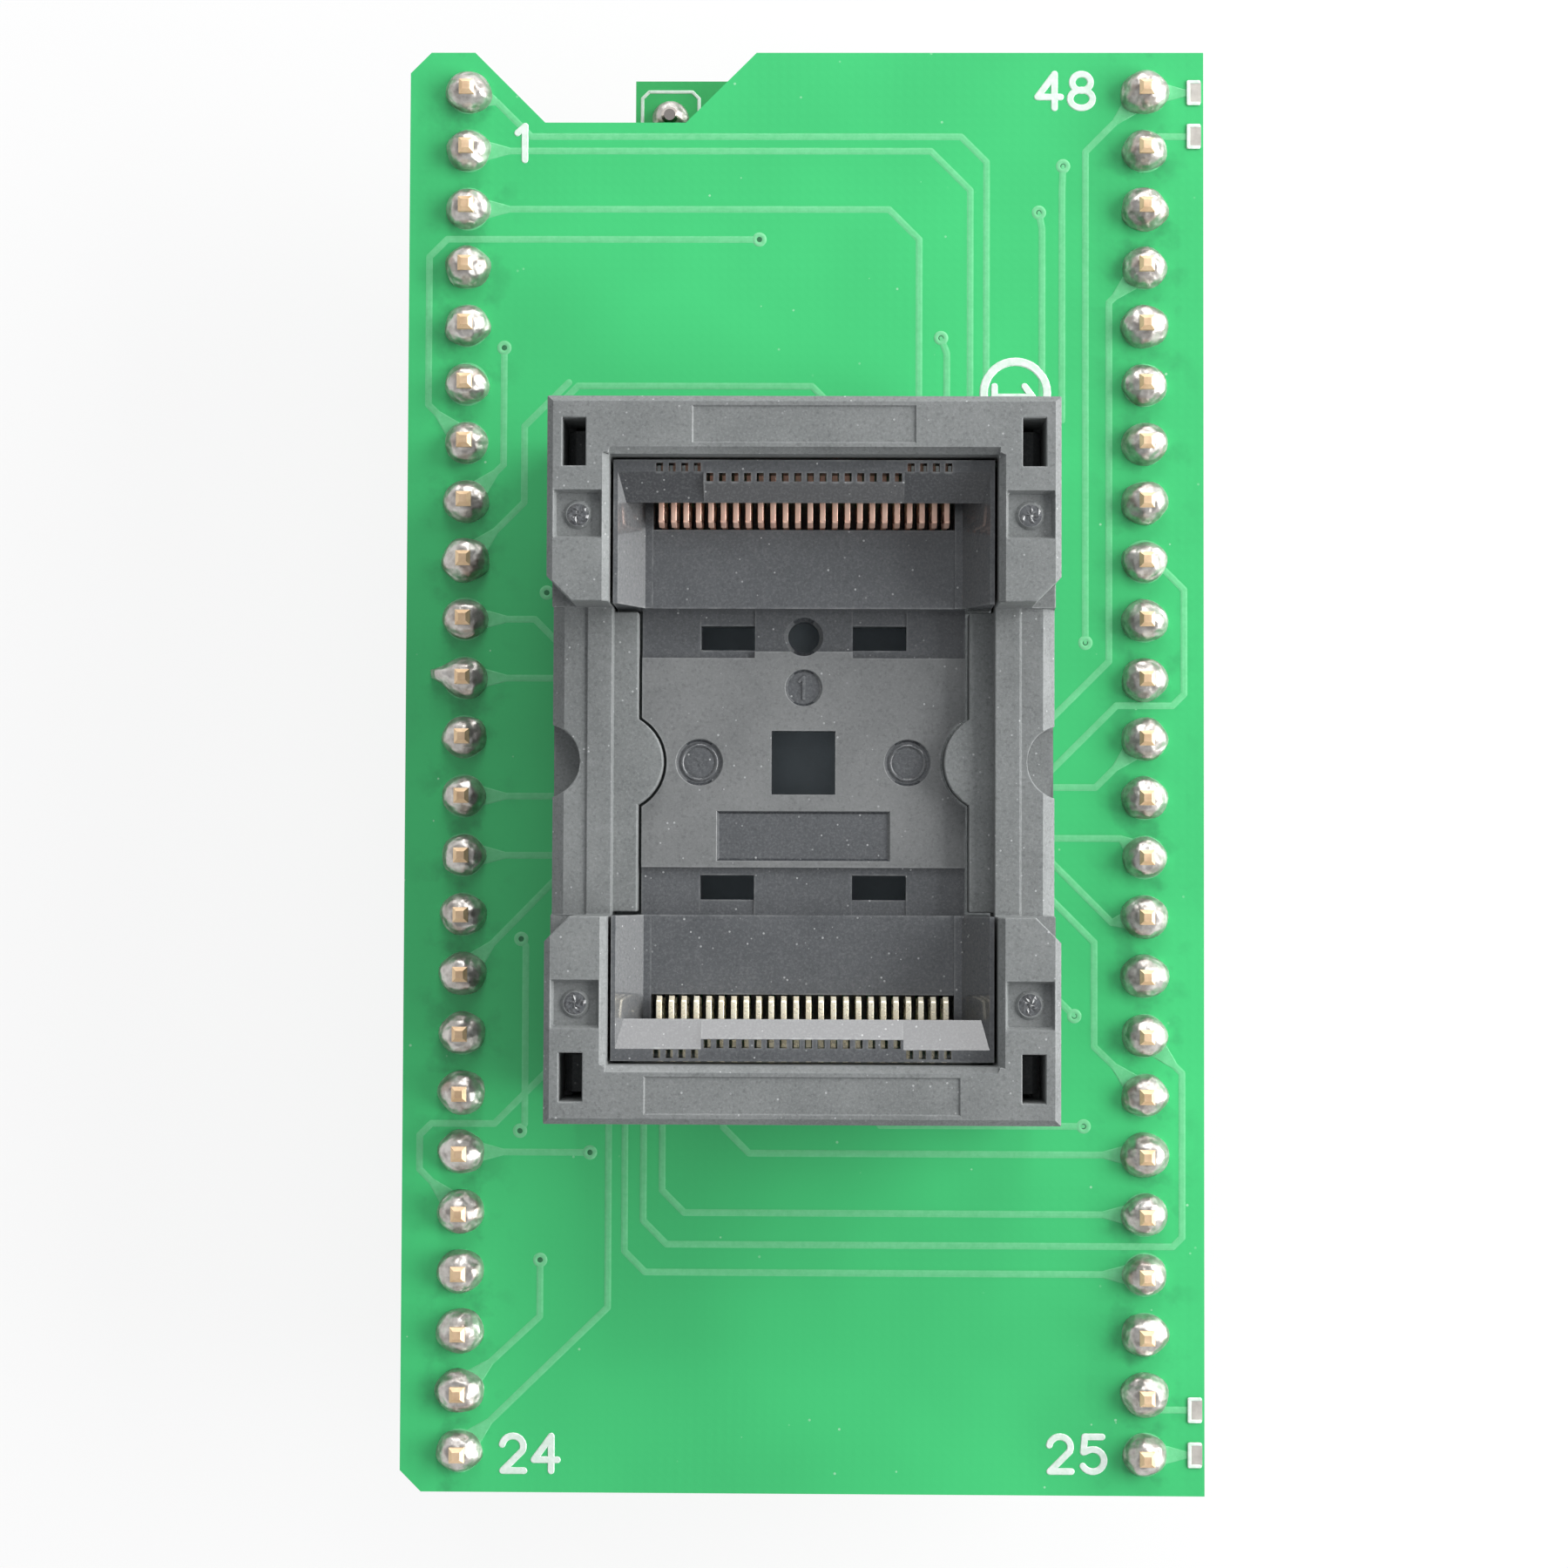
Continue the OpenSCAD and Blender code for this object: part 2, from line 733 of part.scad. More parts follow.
module base_end() {
    difference() {
        block([-comb_x, comb_x], [comb_y_in - comb_wall, comb_y_out + comb_wall], [base_lift, comb_top]);
        contact_slots();
    }
    mirrored([1, 0, 0]) translate([0, latch_y, 0]) latch_hook();
    translate([0, peg_y, -peg_l]) cylinder(d = peg_d, h = peg_l + base_lift + eps);
}

module base_plate() {
    foot_d = 1.8;
    side_wall = 1.6;
    end_wall = 1.6;
    inner_x = middle_x - side_wall;
    inner_y = middle_y;
    outer_y = inner_y + end_wall;
    difference() {
        union() {
            block([-base_w / 2, base_w / 2], [-base_l / 2, base_l / 2], [base_lift, plate_top]);
            block([-middle_x, middle_x], [-outer_y, outer_y], [base_lift, guide_foot]);
            at_corners(base_w / 2 - foot_d, base_l / 2 - foot_d) cylinder(d = foot_d, h = base_lift + eps);
        }
        block([-inner_x, inner_x], [-inner_y, inner_y], [plate_top, guide_foot + eps]);
        mirrored([1, 0, 0]) translate([0, 0, plate_top]) lobe_room();
        mirrored([0, 1, 0]) contact_slots();
        at_corners(pocket_x, pocket_y)
            translate([0, 0, spring_z]) cylinder(d = spring_d + 2 * loose_gap, h = spring_seat + eps);
    }
}

module socket_base() {
    color(socket_black)
        on_socket() {
            base_plate();
            mirrored([0, 1, 0]) base_end();
        }
}

// Package guide: floor, seats, sloped sides and the ramps over the contacts
module guide_side_profile() {
    polygon([
        [guide_x, guide_foot], [guide_x, guide_top], [guide_x - guide_lip, guide_top],
        [throat_x + land_w, seat_z + land_h], [throat_x, seat_z + land_h], [throat_x, guide_foot]
    ]);
}

module ramp_profile(run) {
    polygon([
        [ramp_y, roof_z], [ramp_y, ramp_foot], [ramp_y + run, guide_top],
        [guide_y, guide_top], [guide_y, roof_z]
    ]);
}

module guide_end() {
    outer_x = row_half - (outer_contacts - 0.5) * contact_pitch;
    block([-throat_x - eps, throat_x + eps], [middle_y, platform_y], [guide_foot, seat_z]);
    mirrored([1, 0, 0]) extrude_y(middle_y, guide_y) guide_side_profile();
    extrude_x(2 * guide_x) ramp_profile(ramp_run + ramp_extra);
    extrude_x(2 * outer_x) ramp_profile(ramp_run);
}

module lever_windows() {
    for (i = [0 : contacts_per_row - 1]) {
        outer = i < outer_contacts || i >= contacts_per_row - outer_contacts;
        y = ramp_y + ramp_run + lever_window_l / 2 + eps + (outer ? ramp_extra : 0);
        translate([i * contact_pitch - row_half, y, guide_top])
            cube([lever_window_w, lever_window_l, 4 * (guide_top - roof_z)], center = true);
    }
}

module guide_floor() {
    tab_w = 4;
    tab_l = 0.27;
    block([-middle_x, middle_x], [-middle_y - eps, middle_y + eps], [guide_foot, floor_z]);
    block([-middle_x, middle_x], [-floor_pad_l, floor_pad_l], [guide_foot, floor_z + floor_pad_t]);
    block([-tab_w / 2, tab_w / 2], [0, floor_pad_l + tab_l], [guide_foot, floor_z + floor_pad_t]);
}

// Shallow marks in the floor's pad: two dimples, a disc and a panel
module floor_marks() {
    dimple_x = 4.25;
    disc_d = 1.55;
    disc_y = 3.06;
    panel_size = [7.1, 2.07];
    panel_y = -3;
    translate([0, 0, floor_z + floor_pad_t]) {
        mirrored([1, 0, 0]) translate([dimple_x, 0, 0]) disc_cutter(dimple_d, mark_depth);
        translate([0, disc_y, 0]) disc_cutter(disc_d, mark_depth);
        translate([0, panel_y, 0]) panel_cutter(panel_size[0], panel_size[1], mark_depth, mark_depth);
    }
}

// Round hole in the floor, with a sloped rim
module floor_hole() {
    hole_r = 0.64;
    hole_rim = 0.16;
    hole_y = 5.16;
    hole_top = 2 * floor_pad_t;
    translate([0, hole_y, floor_z])
        rotate_extrude()
            polygon([
                [0, -floor_z], [hole_r, -floor_z], [hole_r, -hole_rim],
                [hole_r + hole_rim, 0], [hole_r + hole_rim, hole_top], [0, hole_top]
            ]);
}

// Four slots through the floor, each with a shallow channel to the seat platform
module floor_slots() {
    slot_x = 3.1;
    slot_y = 5.1;
    channel_depth = 0.05;
    at_corners(slot_x, slot_y) cube([floor_slot_w, floor_slot_l, 3 * floor_z], center = true);
    mirrored([1, 0, 0])
        mirrored([0, 1, 0])
            block(
                [slot_x - floor_slot_w / 2, slot_x + floor_slot_w / 2],
                [slot_y, middle_y],
                [floor_z - channel_depth, floor_z + eps]
            );
}

module package_guide() {
    color(socket_black)
        on_socket()
            difference() {
                union() {
                    guide_floor();
                    mirrored([0, 1, 0]) guide_end();
                }
                mirrored([1, 0, 0]) lobe_room();
                cube([floor_window, floor_window, 3 * floor_z], center = true);
                floor_slots();
                floor_hole();
                floor_marks();
                mirrored([0, 1, 0]) lever_windows();
            }
}

// Cover: a ring with tall legs and end bars, low rails and inner ledges
module cover_ring() {
    difference() {
        block([-cover_w / 2, cover_w / 2], [-cover_l / 2, cover_l / 2], [cover_foot, cover_top]);
        block([-window_x, window_x], [-window_y, window_y], [0, cover_top + 1]);
        mirrored([0, 1, 0])
            block([-window_x, window_x], [window_y - eps, cover_l / 2 - skirt_t], [0, bar_foot]);
    }
    mirrored([0, 1, 0])
        extrude_x(2 * window_x) {
            translate([nose_y, nose_z]) circle(nose_r);
            translate([nose_y - nose_r, nose_z]) square([2 * nose_r, bar_foot - nose_z + eps]);
        }
    mirrored([1, 0, 0]) cover_ledge();
}

module cover_ledge() {
    ledge_y = middle_y - cover_gap;
    block([ledge_x, window_x + eps], [-ledge_y, ledge_y], [ledge_top - ledge_t, ledge_top]);
    intersection() {
        translate([window_x, 0, ledge_top - ledge_t]) cylinder(r = lobe_r, h = ledge_t);
        block([0, window_x + eps], [-ledge_y, ledge_y], [0, cover_top]);
    }
}

// The room above the rails, with the legs' outer corners cut at 45 degrees
module rail_cut() {
    corner = 1;
    translate([0, 0, rail_top])
        linear_extrude(cover_top)
            polygon([
                [0, middle_y], [cover_w / 2 - corner, middle_y], [cover_w / 2 + 1, middle_y + corner + 1],
                [cover_w / 2 + 1, -middle_y - corner - 1], [cover_w / 2 - corner, -middle_y], [0, -middle_y]
            ]);
    block(
        [window_x + rail_step_w, cover_w / 2 + 1],
        [-middle_y, middle_y],
        [rail_top - rail_step, rail_top + eps]
    );
    extrude_y(-middle_y, middle_y)
        polygon([
            [cover_w / 2 - rail_chamfer, rail_top + eps], [cover_w / 2 + 1, rail_top + eps],
            [cover_w / 2 + 1, rail_top - rail_chamfer], [cover_w / 2, rail_top - rail_chamfer]
        ]);
}

module leg_features() {
    pip_h = pocket_depth / 3;
    translate([pocket_x, pocket_y, 0]) {
        translate([0, 0, cover_top])
            difference() {
                panel_cutter(pocket_side, pocket_side, pocket_depth, pocket_lean);
                translate([0, 0, -pocket_depth - eps])
                    cylinder(d1 = pip_d + 2 * (pip_h + eps), d2 = pip_d, h = pip_h + eps);
            }
        translate([0, 0, cover_foot - eps])
            cylinder(d = spring_d + 2 * loose_gap, h = spring_top - cover_foot + eps);
    }
    translate([latch_in, latch_y - latch_slot_l / 2, cover_foot - 1])
        cube([hook_t + 2 * hook_gap, latch_slot_l, cover_top]);
    translate([latch_in, latch_y - latch_slot_l / 2, hook_catch - hook_gap])
        cube([latch_slot_w, latch_slot_l, cover_top]);
}

// Profile of a 45 degree cut along a top edge
module bevel_profile(size) {
    cut = size + eps;
    polygon([[-eps, -cut], [cut, eps], [-eps, eps]]);
}

// Bevels along the inner and outer top edges, and a shallow panel on each end bar
module cover_bevels() {
    mirrored([1, 0, 0]) {
        extrude_y(-window_y, window_y) translate([window_x, cover_top]) bevel_profile(window_cut);
        extrude_y(-cover_l / 2 - eps, cover_l / 2 + eps)
            translate([cover_w / 2, cover_top]) mirror([1, 0]) bevel_profile(edge_cut);
    }
    mirrored([0, 1, 0]) {
        extrude_x(2 * window_x) translate([window_y, cover_top]) bevel_profile(window_cut);
        extrude_x(cover_w + 2 * eps)
            translate([cover_l / 2, cover_top]) mirror([1, 0]) bevel_profile(edge_cut);
    }
}

module end_panel(length) {
    y = (window_y + window_cut + cover_l / 2 - edge_cut) / 2;
    translate([0, y, cover_top]) panel_cutter(length, panel_w, panel_depth, panel_depth);
}

module actuator_cover() {
    recess_x = cover_w / 2 - recess_depth + recess_r;
    color(socket_black)
        on_socket()
            difference() {
                cover_ring();
                cover_bevels();
                end_panel(rear_panel_l);
                mirror([0, 1, 0]) end_panel(front_panel_l);
                mirrored([1, 0, 0]) {
                    rail_cut();
                    translate([recess_x, 0, rail_top - recess_depth]) cylinder(r = recess_r, h = cover_top);
                    mirrored([0, 1, 0]) leg_features();
                }
            }
}

// Return springs: round wire swept along a helix, with closed flat-pitched ends
function helix_turn(t) = t * spring_turns * 360;

function helix_point(t) = [
    spring_mean_r * cos(helix_turn(t)),
    spring_mean_r * sin(helix_turn(t)),
    spring_z + wire_d / 2 + t * (spring_top - spring_z - wire_d)
];

module coil_spring() {
    steps = spring_turns * 14;
    sides = 6;
    rings = [for (k = [0 : steps]) helix_point(k / steps)];
    points = [
        for (k = [0 : steps], s = [0 : sides - 1])
            let(turn = helix_turn(k / steps), a = s * 360 / sides)
            rings[k] + wire_d / 2 * [cos(a) * cos(turn), cos(a) * sin(turn), sin(a)]
    ];
    walls = [
        for (k = [0 : steps - 1], s = [0 : sides - 1], half = [0, 1])
            let(n = (s + 1) % sides, low = k * sides, high = (k + 1) * sides)
            half == 0 ? [low + s, low + n, high + n] : [low + s, high + n, high + s]
    ];
    first = [for (s = [sides - 1 : -1 : 0]) s];
    last = [for (s = [0 : sides - 1]) steps * sides + s];
    polyhedron(points, concat(walls, [first, last]));
}

module return_springs() {
    color(spring_steel) on_socket() at_corners(pocket_x, pocket_y) coil_spring();
}

upper_board();
lower_board();
link_strip(-1);  // left_link_strip
link_strip(1);  // right_link_strip
link_pins(-1);  // left_link_pins
link_pins(1);  // right_link_pins
upper_joints(-1);  // left_upper_joints
upper_joints(1);  // right_upper_joints
lower_joints(-1);  // left_lower_joints
lower_joints(1);  // right_lower_joints
plug_strip(-1);  // left_plug_strip
plug_strip(1);  // right_plug_strip
plug_pins(-1);  // left_plug_pins
plug_pins(1);  // right_plug_pins
plug_joints(-1);  // left_plug_joints
plug_joints(1);  // right_plug_joints
socket_base();
package_guide();
actuator_cover();
on_socket() contact_arms();  // rear_contact_arms
mirror([0, 1, 0]) on_socket() contact_arms();  // front_contact_arms
on_socket() contact_stems();  // rear_contact_stems
mirror([0, 1, 0]) on_socket() contact_stems();  // front_contact_stems
on_socket() tail_joints();  // rear_tail_joints
mirror([0, 1, 0]) on_socket() tail_joints();  // front_tail_joints
return_springs();
edge_pads();
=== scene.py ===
"""Looks of a programming adapter: a press-to-open chip socket on a stack of two green boards."""

import math
import random

import bpy
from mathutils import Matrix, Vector


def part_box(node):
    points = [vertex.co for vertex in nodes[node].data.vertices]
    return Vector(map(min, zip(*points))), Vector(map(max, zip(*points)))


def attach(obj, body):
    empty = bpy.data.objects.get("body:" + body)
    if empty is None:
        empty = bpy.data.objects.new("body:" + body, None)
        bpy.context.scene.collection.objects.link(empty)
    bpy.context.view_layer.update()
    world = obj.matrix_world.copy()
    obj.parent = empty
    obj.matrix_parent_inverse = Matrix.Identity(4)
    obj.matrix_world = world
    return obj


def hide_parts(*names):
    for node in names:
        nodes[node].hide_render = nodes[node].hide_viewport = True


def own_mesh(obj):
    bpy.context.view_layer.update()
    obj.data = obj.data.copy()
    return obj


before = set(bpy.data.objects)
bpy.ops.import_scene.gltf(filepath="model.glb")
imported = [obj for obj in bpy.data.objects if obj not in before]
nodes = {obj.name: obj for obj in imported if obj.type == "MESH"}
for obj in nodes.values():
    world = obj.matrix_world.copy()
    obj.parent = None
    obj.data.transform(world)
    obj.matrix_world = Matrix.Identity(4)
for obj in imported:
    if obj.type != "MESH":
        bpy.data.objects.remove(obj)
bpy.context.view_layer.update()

MM = 0.001

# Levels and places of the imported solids, in millimetres like all lengths from here to the stage
BOARD_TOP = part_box("upper_board")[1].z / MM
LOWER_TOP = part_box("lower_board")[1].z / MM
FLOOR_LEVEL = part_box("left_plug_pins")[0].z / MM
END_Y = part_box("upper_board")[1].y / MM
COVER_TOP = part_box("actuator_cover")[1].z / MM
GUIDE_RISE = 5.5
GUIDE_FLOOR = BOARD_TOP + GUIDE_RISE
MARK_DEPTH = 0.12
MARK_LEVEL = GUIDE_FLOOR - MARK_DEPTH
LINK_X = 14.605
PLUG_X = (-6.096, 9.144)
PIN_PITCH = 2.54
PINS = 24
ROW_L = (PINS - 1) * PIN_PITCH


def pin_y(i):
    """Place of pin i along the board, counted from the notched end."""
    return ROW_L / 2 - i * PIN_PITCH


def left(i):
    """Place of pin i in the left row."""
    return (-LINK_X, pin_y(i))


def right(i):
    """Place of pin i in the right row."""
    return (LINK_X, pin_y(i))


# Materials

class Nodes:
    """Adds shader nodes to a tree.

    The values that its methods take are numbers, colours or the outputs of other nodes.
    """

    def __init__(self, tree):
        self.tree = tree

    def new(self, kind):
        return self.tree.nodes.new("ShaderNode" + kind)

    def link(self, value, socket):
        """Joins an output to the socket, or sets the socket to a number or colour."""
        if hasattr(value, "links"):
            self.tree.links.new(value, socket)
        else:
            socket.default_value = value

    def math(self, operation, a, b=0.0):
        node = self.new("Math")
        node.operation = operation
        self.link(a, node.inputs[0])
        self.link(b, node.inputs[1])
        return node.outputs[0]

    def times(self, a, b):
        return self.math("MULTIPLY", a, b)

    def plus(self, a, b):
        return self.math("ADD", a, b)

    def size(self, value):
        return self.math("ABSOLUTE", value)

    def below(self, a, b):
        """One where a is less than b, and nought elsewhere."""
        return self.math("LESS_THAN", a, b)

    def above(self, a, b):
        """One where a is more than b, and nought elsewhere."""
        return self.math("GREATER_THAN", a, b)

    def span(self, value, low, high, to_low=0.0, to_high=1.0):
        """The value, brought from one range to another and held within it."""
        node = self.new("MapRange")
        self.link(value, node.inputs["Value"])
        limits = {"From Min": low, "From Max": high, "To Min": to_low, "To Max": to_high}
        for name, number in limits.items():
            node.inputs[name].default_value = number
        return node.outputs["Result"]

    def blend(self, share, a, b):
        """A shader between a and b."""
        node = self.new("MixShader")
        for value, socket in zip((share, a, b), node.inputs):
            self.link(value, socket)
        return node.outputs[0]


class Surface(Nodes):
    """One procedural material, with its texture coordinates in millimetres."""

    def __init__(self, name):
        self.material = bpy.data.materials.new(name)
        self.material.use_nodes = True
        super().__init__(self.material.node_tree)
        self.shader = self.tree.nodes["Principled BSDF"]
        scale = self.new("VectorMath")
        scale.operation = "SCALE"
        scale.inputs["Scale"].default_value = 1 / MM
        self.link(self.new("TexCoord").outputs["Object"], scale.inputs[0])
        self.mm = scale.outputs[0]

    def noise(self, scale, detail=3.0, roughness=0.55):
        """Clouds, with about scale of them to the millimetre."""
        node = self.new("TexNoise")
        node.inputs["Scale"].default_value = scale
        node.inputs["Detail"].default_value = detail
        node.inputs["Roughness"].default_value = roughness
        self.link(self.mm, node.inputs["Vector"])
        return node.outputs["Fac"]

    def cells(self, scale):
        """Distance to the nearest of many scattered points."""
        node = self.new("TexVoronoi")
        node.inputs["Scale"].default_value = scale
        self.link(self.mm, node.inputs["Vector"])
        return node.outputs["Distance"]

    def wave(self, period, direction):
        """Slightly wavy bands. Blender's own bands are pi / 10 apart at a scale of one."""
        node = self.new("TexWave")
        node.bands_direction = direction
        node.inputs["Scale"].default_value = math.pi / (10 * period)
        node.inputs["Distortion"].default_value = 0.6
        node.inputs["Detail Scale"].default_value = 0.4
        self.link(self.mm, node.inputs["Vector"])
        return node.outputs["Fac"]

    def axis(self, index, normal=False):
        """One coordinate of the place, or of the direction that the face looks in."""
        node = self.new("SeparateXYZ")
        source = self.new("NewGeometry").outputs["Normal"] if normal else self.mm
        self.link(source, node.inputs[0])
        return node.outputs[index]

    def mix(self, share, a, b):
        """A colour between a and b."""
        node = self.new("Mix")
        node.data_type = "RGBA"
        self.link(share, node.inputs["Factor"])
        self.link(self.colour(a), node.inputs[6])
        self.link(self.colour(b), node.inputs[7])
        return node.outputs[2]

    def choose(self, share, a, b):
        """A number between a and b."""
        node = self.new("Mix")
        self.link(share, node.inputs["Factor"])
        self.link(a, node.inputs[2])
        self.link(b, node.inputs[3])
        return node.outputs[0]

    def edges(self, reach_mm):
        """Nought on flat faces, rising towards outer edges."""
        node = self.new("AmbientOcclusion")
        node.inside = True
        node.only_local = True
        node.samples = 6
        node.inputs["Distance"].default_value = reach_mm * MM
        return self.span(node.outputs["AO"], 0.92, 0.55)

    @staticmethod
    def colour(value):
        """An output as it is, or a colour with its opacity."""
        return value if hasattr(value, "links") else (*value, 1.0)

    def bump(self, height, strength, distance_mm):
        node = self.new("Bump")
        node.inputs["Strength"].default_value = strength
        node.inputs["Distance"].default_value = distance_mm * MM
        self.link(height, node.inputs["Height"])
        self.link(node.outputs["Normal"], self.shader.inputs["Normal"])

    def finish(self, colour, roughness, metallic=0.0, **constants):
        """Sets the shader's own sockets and gives the material."""
        self.link(colour, self.shader.inputs["Base Color"])
        self.link(roughness, self.shader.inputs["Roughness"])
        self.shader.inputs["Metallic"].default_value = metallic
        for name, value in constants.items():
            self.shader.inputs[name.replace("_", " ")].default_value = value
        return self.material


WEAVE = 0.42
LAYER = 0.2
STAIN_REACH = (0.6, 2.6)
WEAR_AND_SHEEN_REACH = 0.11
PAD_REACH = 0.03
BOARD_DUST = (0.45, 0.75, 0.52)
SAND_GREY = (0.40, 0.41, 0.41)
PIT_BLACK = (0.030, 0.032, 0.036)
# Pale grey for outer edges: partly wear, partly a painted edge highlight.
WEAR_AND_SHEEN_GREY = (0.36, 0.37, 0.37)
SPECK_GREY = (0.48, 0.49, 0.49)
# Painted reflection: tone of the guide's sideways slopes.
SIDE_SLOPE_PAINTED_SHEEN = (0.118, 0.122, 0.126)
# Painted shade: tone of the guide's end ramps.
RAMP_PAINTED_SHADE = (0.045, 0.048, 0.053)
TINNED = (0.60, 0.54, 0.50)
SOLDER_DARK = (0.39, 0.36, 0.333)
SOLDER_LIGHT = (0.655, 0.625, 0.595)
FLUX_BROWN = (0.34, 0.25, 0.20)


def shaded(colour, *shares):
    """The colour with each of its parts made darker."""
    return tuple(part * share for part, share in zip(colour, shares))


def board_material(name, light, dark, core):
    """Green lacquer over glass weave, with flux stains along the pin rows and a bare sawn edge."""
    s = Surface(name)
    tone = s.mix(s.span(s.noise(0.09, 2.0), 0.35, 0.68), dark, light)
    weave = s.times(s.wave(WEAVE, "X"), s.wave(WEAVE, "Y"))
    tone = s.mix(s.times(weave, 0.10), tone, light)

    off_row = s.size(s.math("SUBTRACT", s.size(s.axis(0)), LINK_X))
    near_pins = s.span(off_row, *STAIN_REACH, 1.0, 0.0)
    stain = s.times(near_pins, s.span(s.noise(0.55, 4.0), 0.52, 0.66))
    tone = s.mix(s.times(stain, 0.45), tone, shaded(dark, 0.5, 0.45, 0.5))
    pale_patch = s.times(s.below(s.cells(0.9), 0.05), s.span(s.noise(0.4, 2.0), 0.46, 0.58))
    tone = s.mix(s.times(pale_patch, 0.6), tone, BOARD_DUST)

    edge = s.below(s.size(s.axis(2, normal=True)), 0.5)
    layers = s.times(s.wave(LAYER, "Z"), s.noise(1.6, 3.0))
    bare = s.mix(layers, core, shaded(core, 0.62, 0.66, 0.55))
    dullness = s.plus(s.times(edge, 0.45), s.times(s.noise(6.0, 4.0), 0.16))
    s.bump(s.plus(s.times(weave, 0.5), s.noise(1.2, 4.0)), 0.22, 0.02)
    return s.finish(s.mix(edge, tone, bare), s.span(dullness, 0.0, 1.0, 0.27, 0.9),
                    Coat_Weight=0.25, Coat_Roughness=0.22)


def plastic_material(name, light, dark, rough=(0.55, 0.75), pad=None, well=None):
    """Moulded glass-filled plastic: cloudy, sandy, dusty, with pale edges that are partly wear and partly
    a painted edge highlight.

    Where pad names a level and two colours, the face at that level is matte and the slopes are glossy;
    the slopes' tone is painted by the way they face, a lighter grey on sideways slopes as painted
    reflection and near black on the end ramps as painted shade.
    Where well names two half widths and a colour, the faces within them are painted that pale colour,
    painted light that lifts the shade at the bottom of the deep window.
    """
    s = Surface(name)
    grain = s.noise(9.0, 3.0)
    coarse = s.noise(0.5, 3.0)
    wear = s.plus(s.times(grain, 0.5), s.times(coarse, 0.5))
    roughness = s.span(wear, 0.25, 0.75, *rough)
    relief = grain
    sandiness, gloss = 0.22, 0.35

    if pad is not None:
        level, pad_light, pad_dark = pad
        sandiness, gloss = 0.13, 0.8
        steepness = s.size(s.axis(2, normal=True))
        slope = s.times(s.above(steepness, 0.25), s.below(steepness, 0.93))
        roughness = s.choose(slope, roughness, s.span(grain, 0.2, 0.8, 0.03, 0.06))
        relief = s.times(grain, s.math("SUBTRACT", 1.0, slope))
        on_pad = s.below(s.size(s.math("SUBTRACT", s.axis(2), level)), PAD_REACH)
        roughness = s.choose(on_pad, roughness, s.span(wear, 0.25, 0.75, 0.45, 0.62))
        # Painted light on the slopes: sideways slopes a lighter grey as painted reflection, end ramps
        # near black as painted shade.
        sideways = s.above(s.size(s.axis(0, normal=True)), 0.4)
        slope_painted_tone = s.mix(sideways, RAMP_PAINTED_SHADE, SIDE_SLOPE_PAINTED_SHEEN)
        light = s.mix(on_pad, s.mix(slope, light, slope_painted_tone), pad_light)
        dark = s.mix(on_pad, s.mix(slope, dark, slope_painted_tone), pad_dark)

    tone = s.mix(s.span(s.noise(0.32, 4.0, 0.62), 0.3, 0.7), dark, light)
    sand = s.span(s.noise(10.0, 2.0, 0.7), 0.46, 0.70)
    tone = s.mix(s.times(sand, sandiness), tone, SAND_GREY)
    pits = s.span(s.noise(6.5, 2.0, 0.6), 0.30, 0.46, 1.0, 0.0)
    tone = s.mix(s.times(pits, 0.26), tone, PIT_BLACK)

    # Painted light: a pale bluish grey over the faces within the well lifts the shade of the deep window.
    if well is not None:
        half_x, half_y, pale_patch = well
        within = s.times(s.below(s.size(s.axis(0)), half_x), s.below(s.size(s.axis(1)), half_y))
        tone = s.mix(s.times(within, s.span(coarse, 0.2, 0.8, 0.7, 0.95)), tone, pale_patch)

    # Pale outer edges: partly wear, partly a painted edge highlight.
    worn_and_sheen = s.times(s.edges(WEAR_AND_SHEEN_REACH), s.span(s.noise(1.1, 4.0, 0.65), 0.40, 0.66, 0.04, 0.5))
    tone = s.mix(worn_and_sheen, tone, WEAR_AND_SHEEN_GREY)
    specks = s.times(s.below(s.cells(2.4), 0.10), s.span(s.noise(0.8, 2.0), 0.44, 0.58))
    tone = s.mix(s.times(specks, 0.8), tone, SPECK_GREY)
    s.bump(relief, 0.26, 0.02)
    return s.finish(tone, roughness, Specular_IOR_Level=gloss)


def metal_material(name, light, dark, rough, patch=0.8, metallic=1.0, tinned_above=None):
    """Plated metal with dull patches and fine marks, tinned above a level where one is given."""
    s = Surface(name)
    share = s.span(s.noise(patch, 4.0, 0.62), 0.32, 0.68)
    marks = s.noise(7.0, 4.0, 0.65)
    tone = s.mix(share, dark, light)
    if tinned_above is not None:
        tone = s.mix(s.above(s.axis(2), tinned_above), tone, TINNED)
    dullness = s.plus(s.times(marks, 0.6), s.times(share, 0.4))
    s.bump(marks, 0.25, 0.02)
    return s.finish(tone, s.span(dullness, 0.2, 0.9, *rough), metallic=metallic)


def solder_material(name):
    """Shiny tin with broad swells, dull patches and a little burnt flux."""
    s = Surface(name)
    tone = s.mix(s.span(s.noise(1.7, 4.0, 0.6), 0.36, 0.62), SOLDER_DARK, SOLDER_LIGHT)
    burnt = s.span(s.noise(0.75, 4.0, 0.6), 0.56, 0.68)
    tone = s.mix(s.times(burnt, 0.6), tone, FLUX_BROWN)
    fine = s.noise(5.0, 4.0, 0.65)
    swell = s.noise(1.5, 1.0, 0.5)
    s.bump(s.plus(s.times(swell, 2.6), s.times(fine, 0.16)), 0.9, 0.11)
    return s.finish(tone, s.span(fine, 0.25, 0.75, 0.27, 0.46), metallic=0.85)


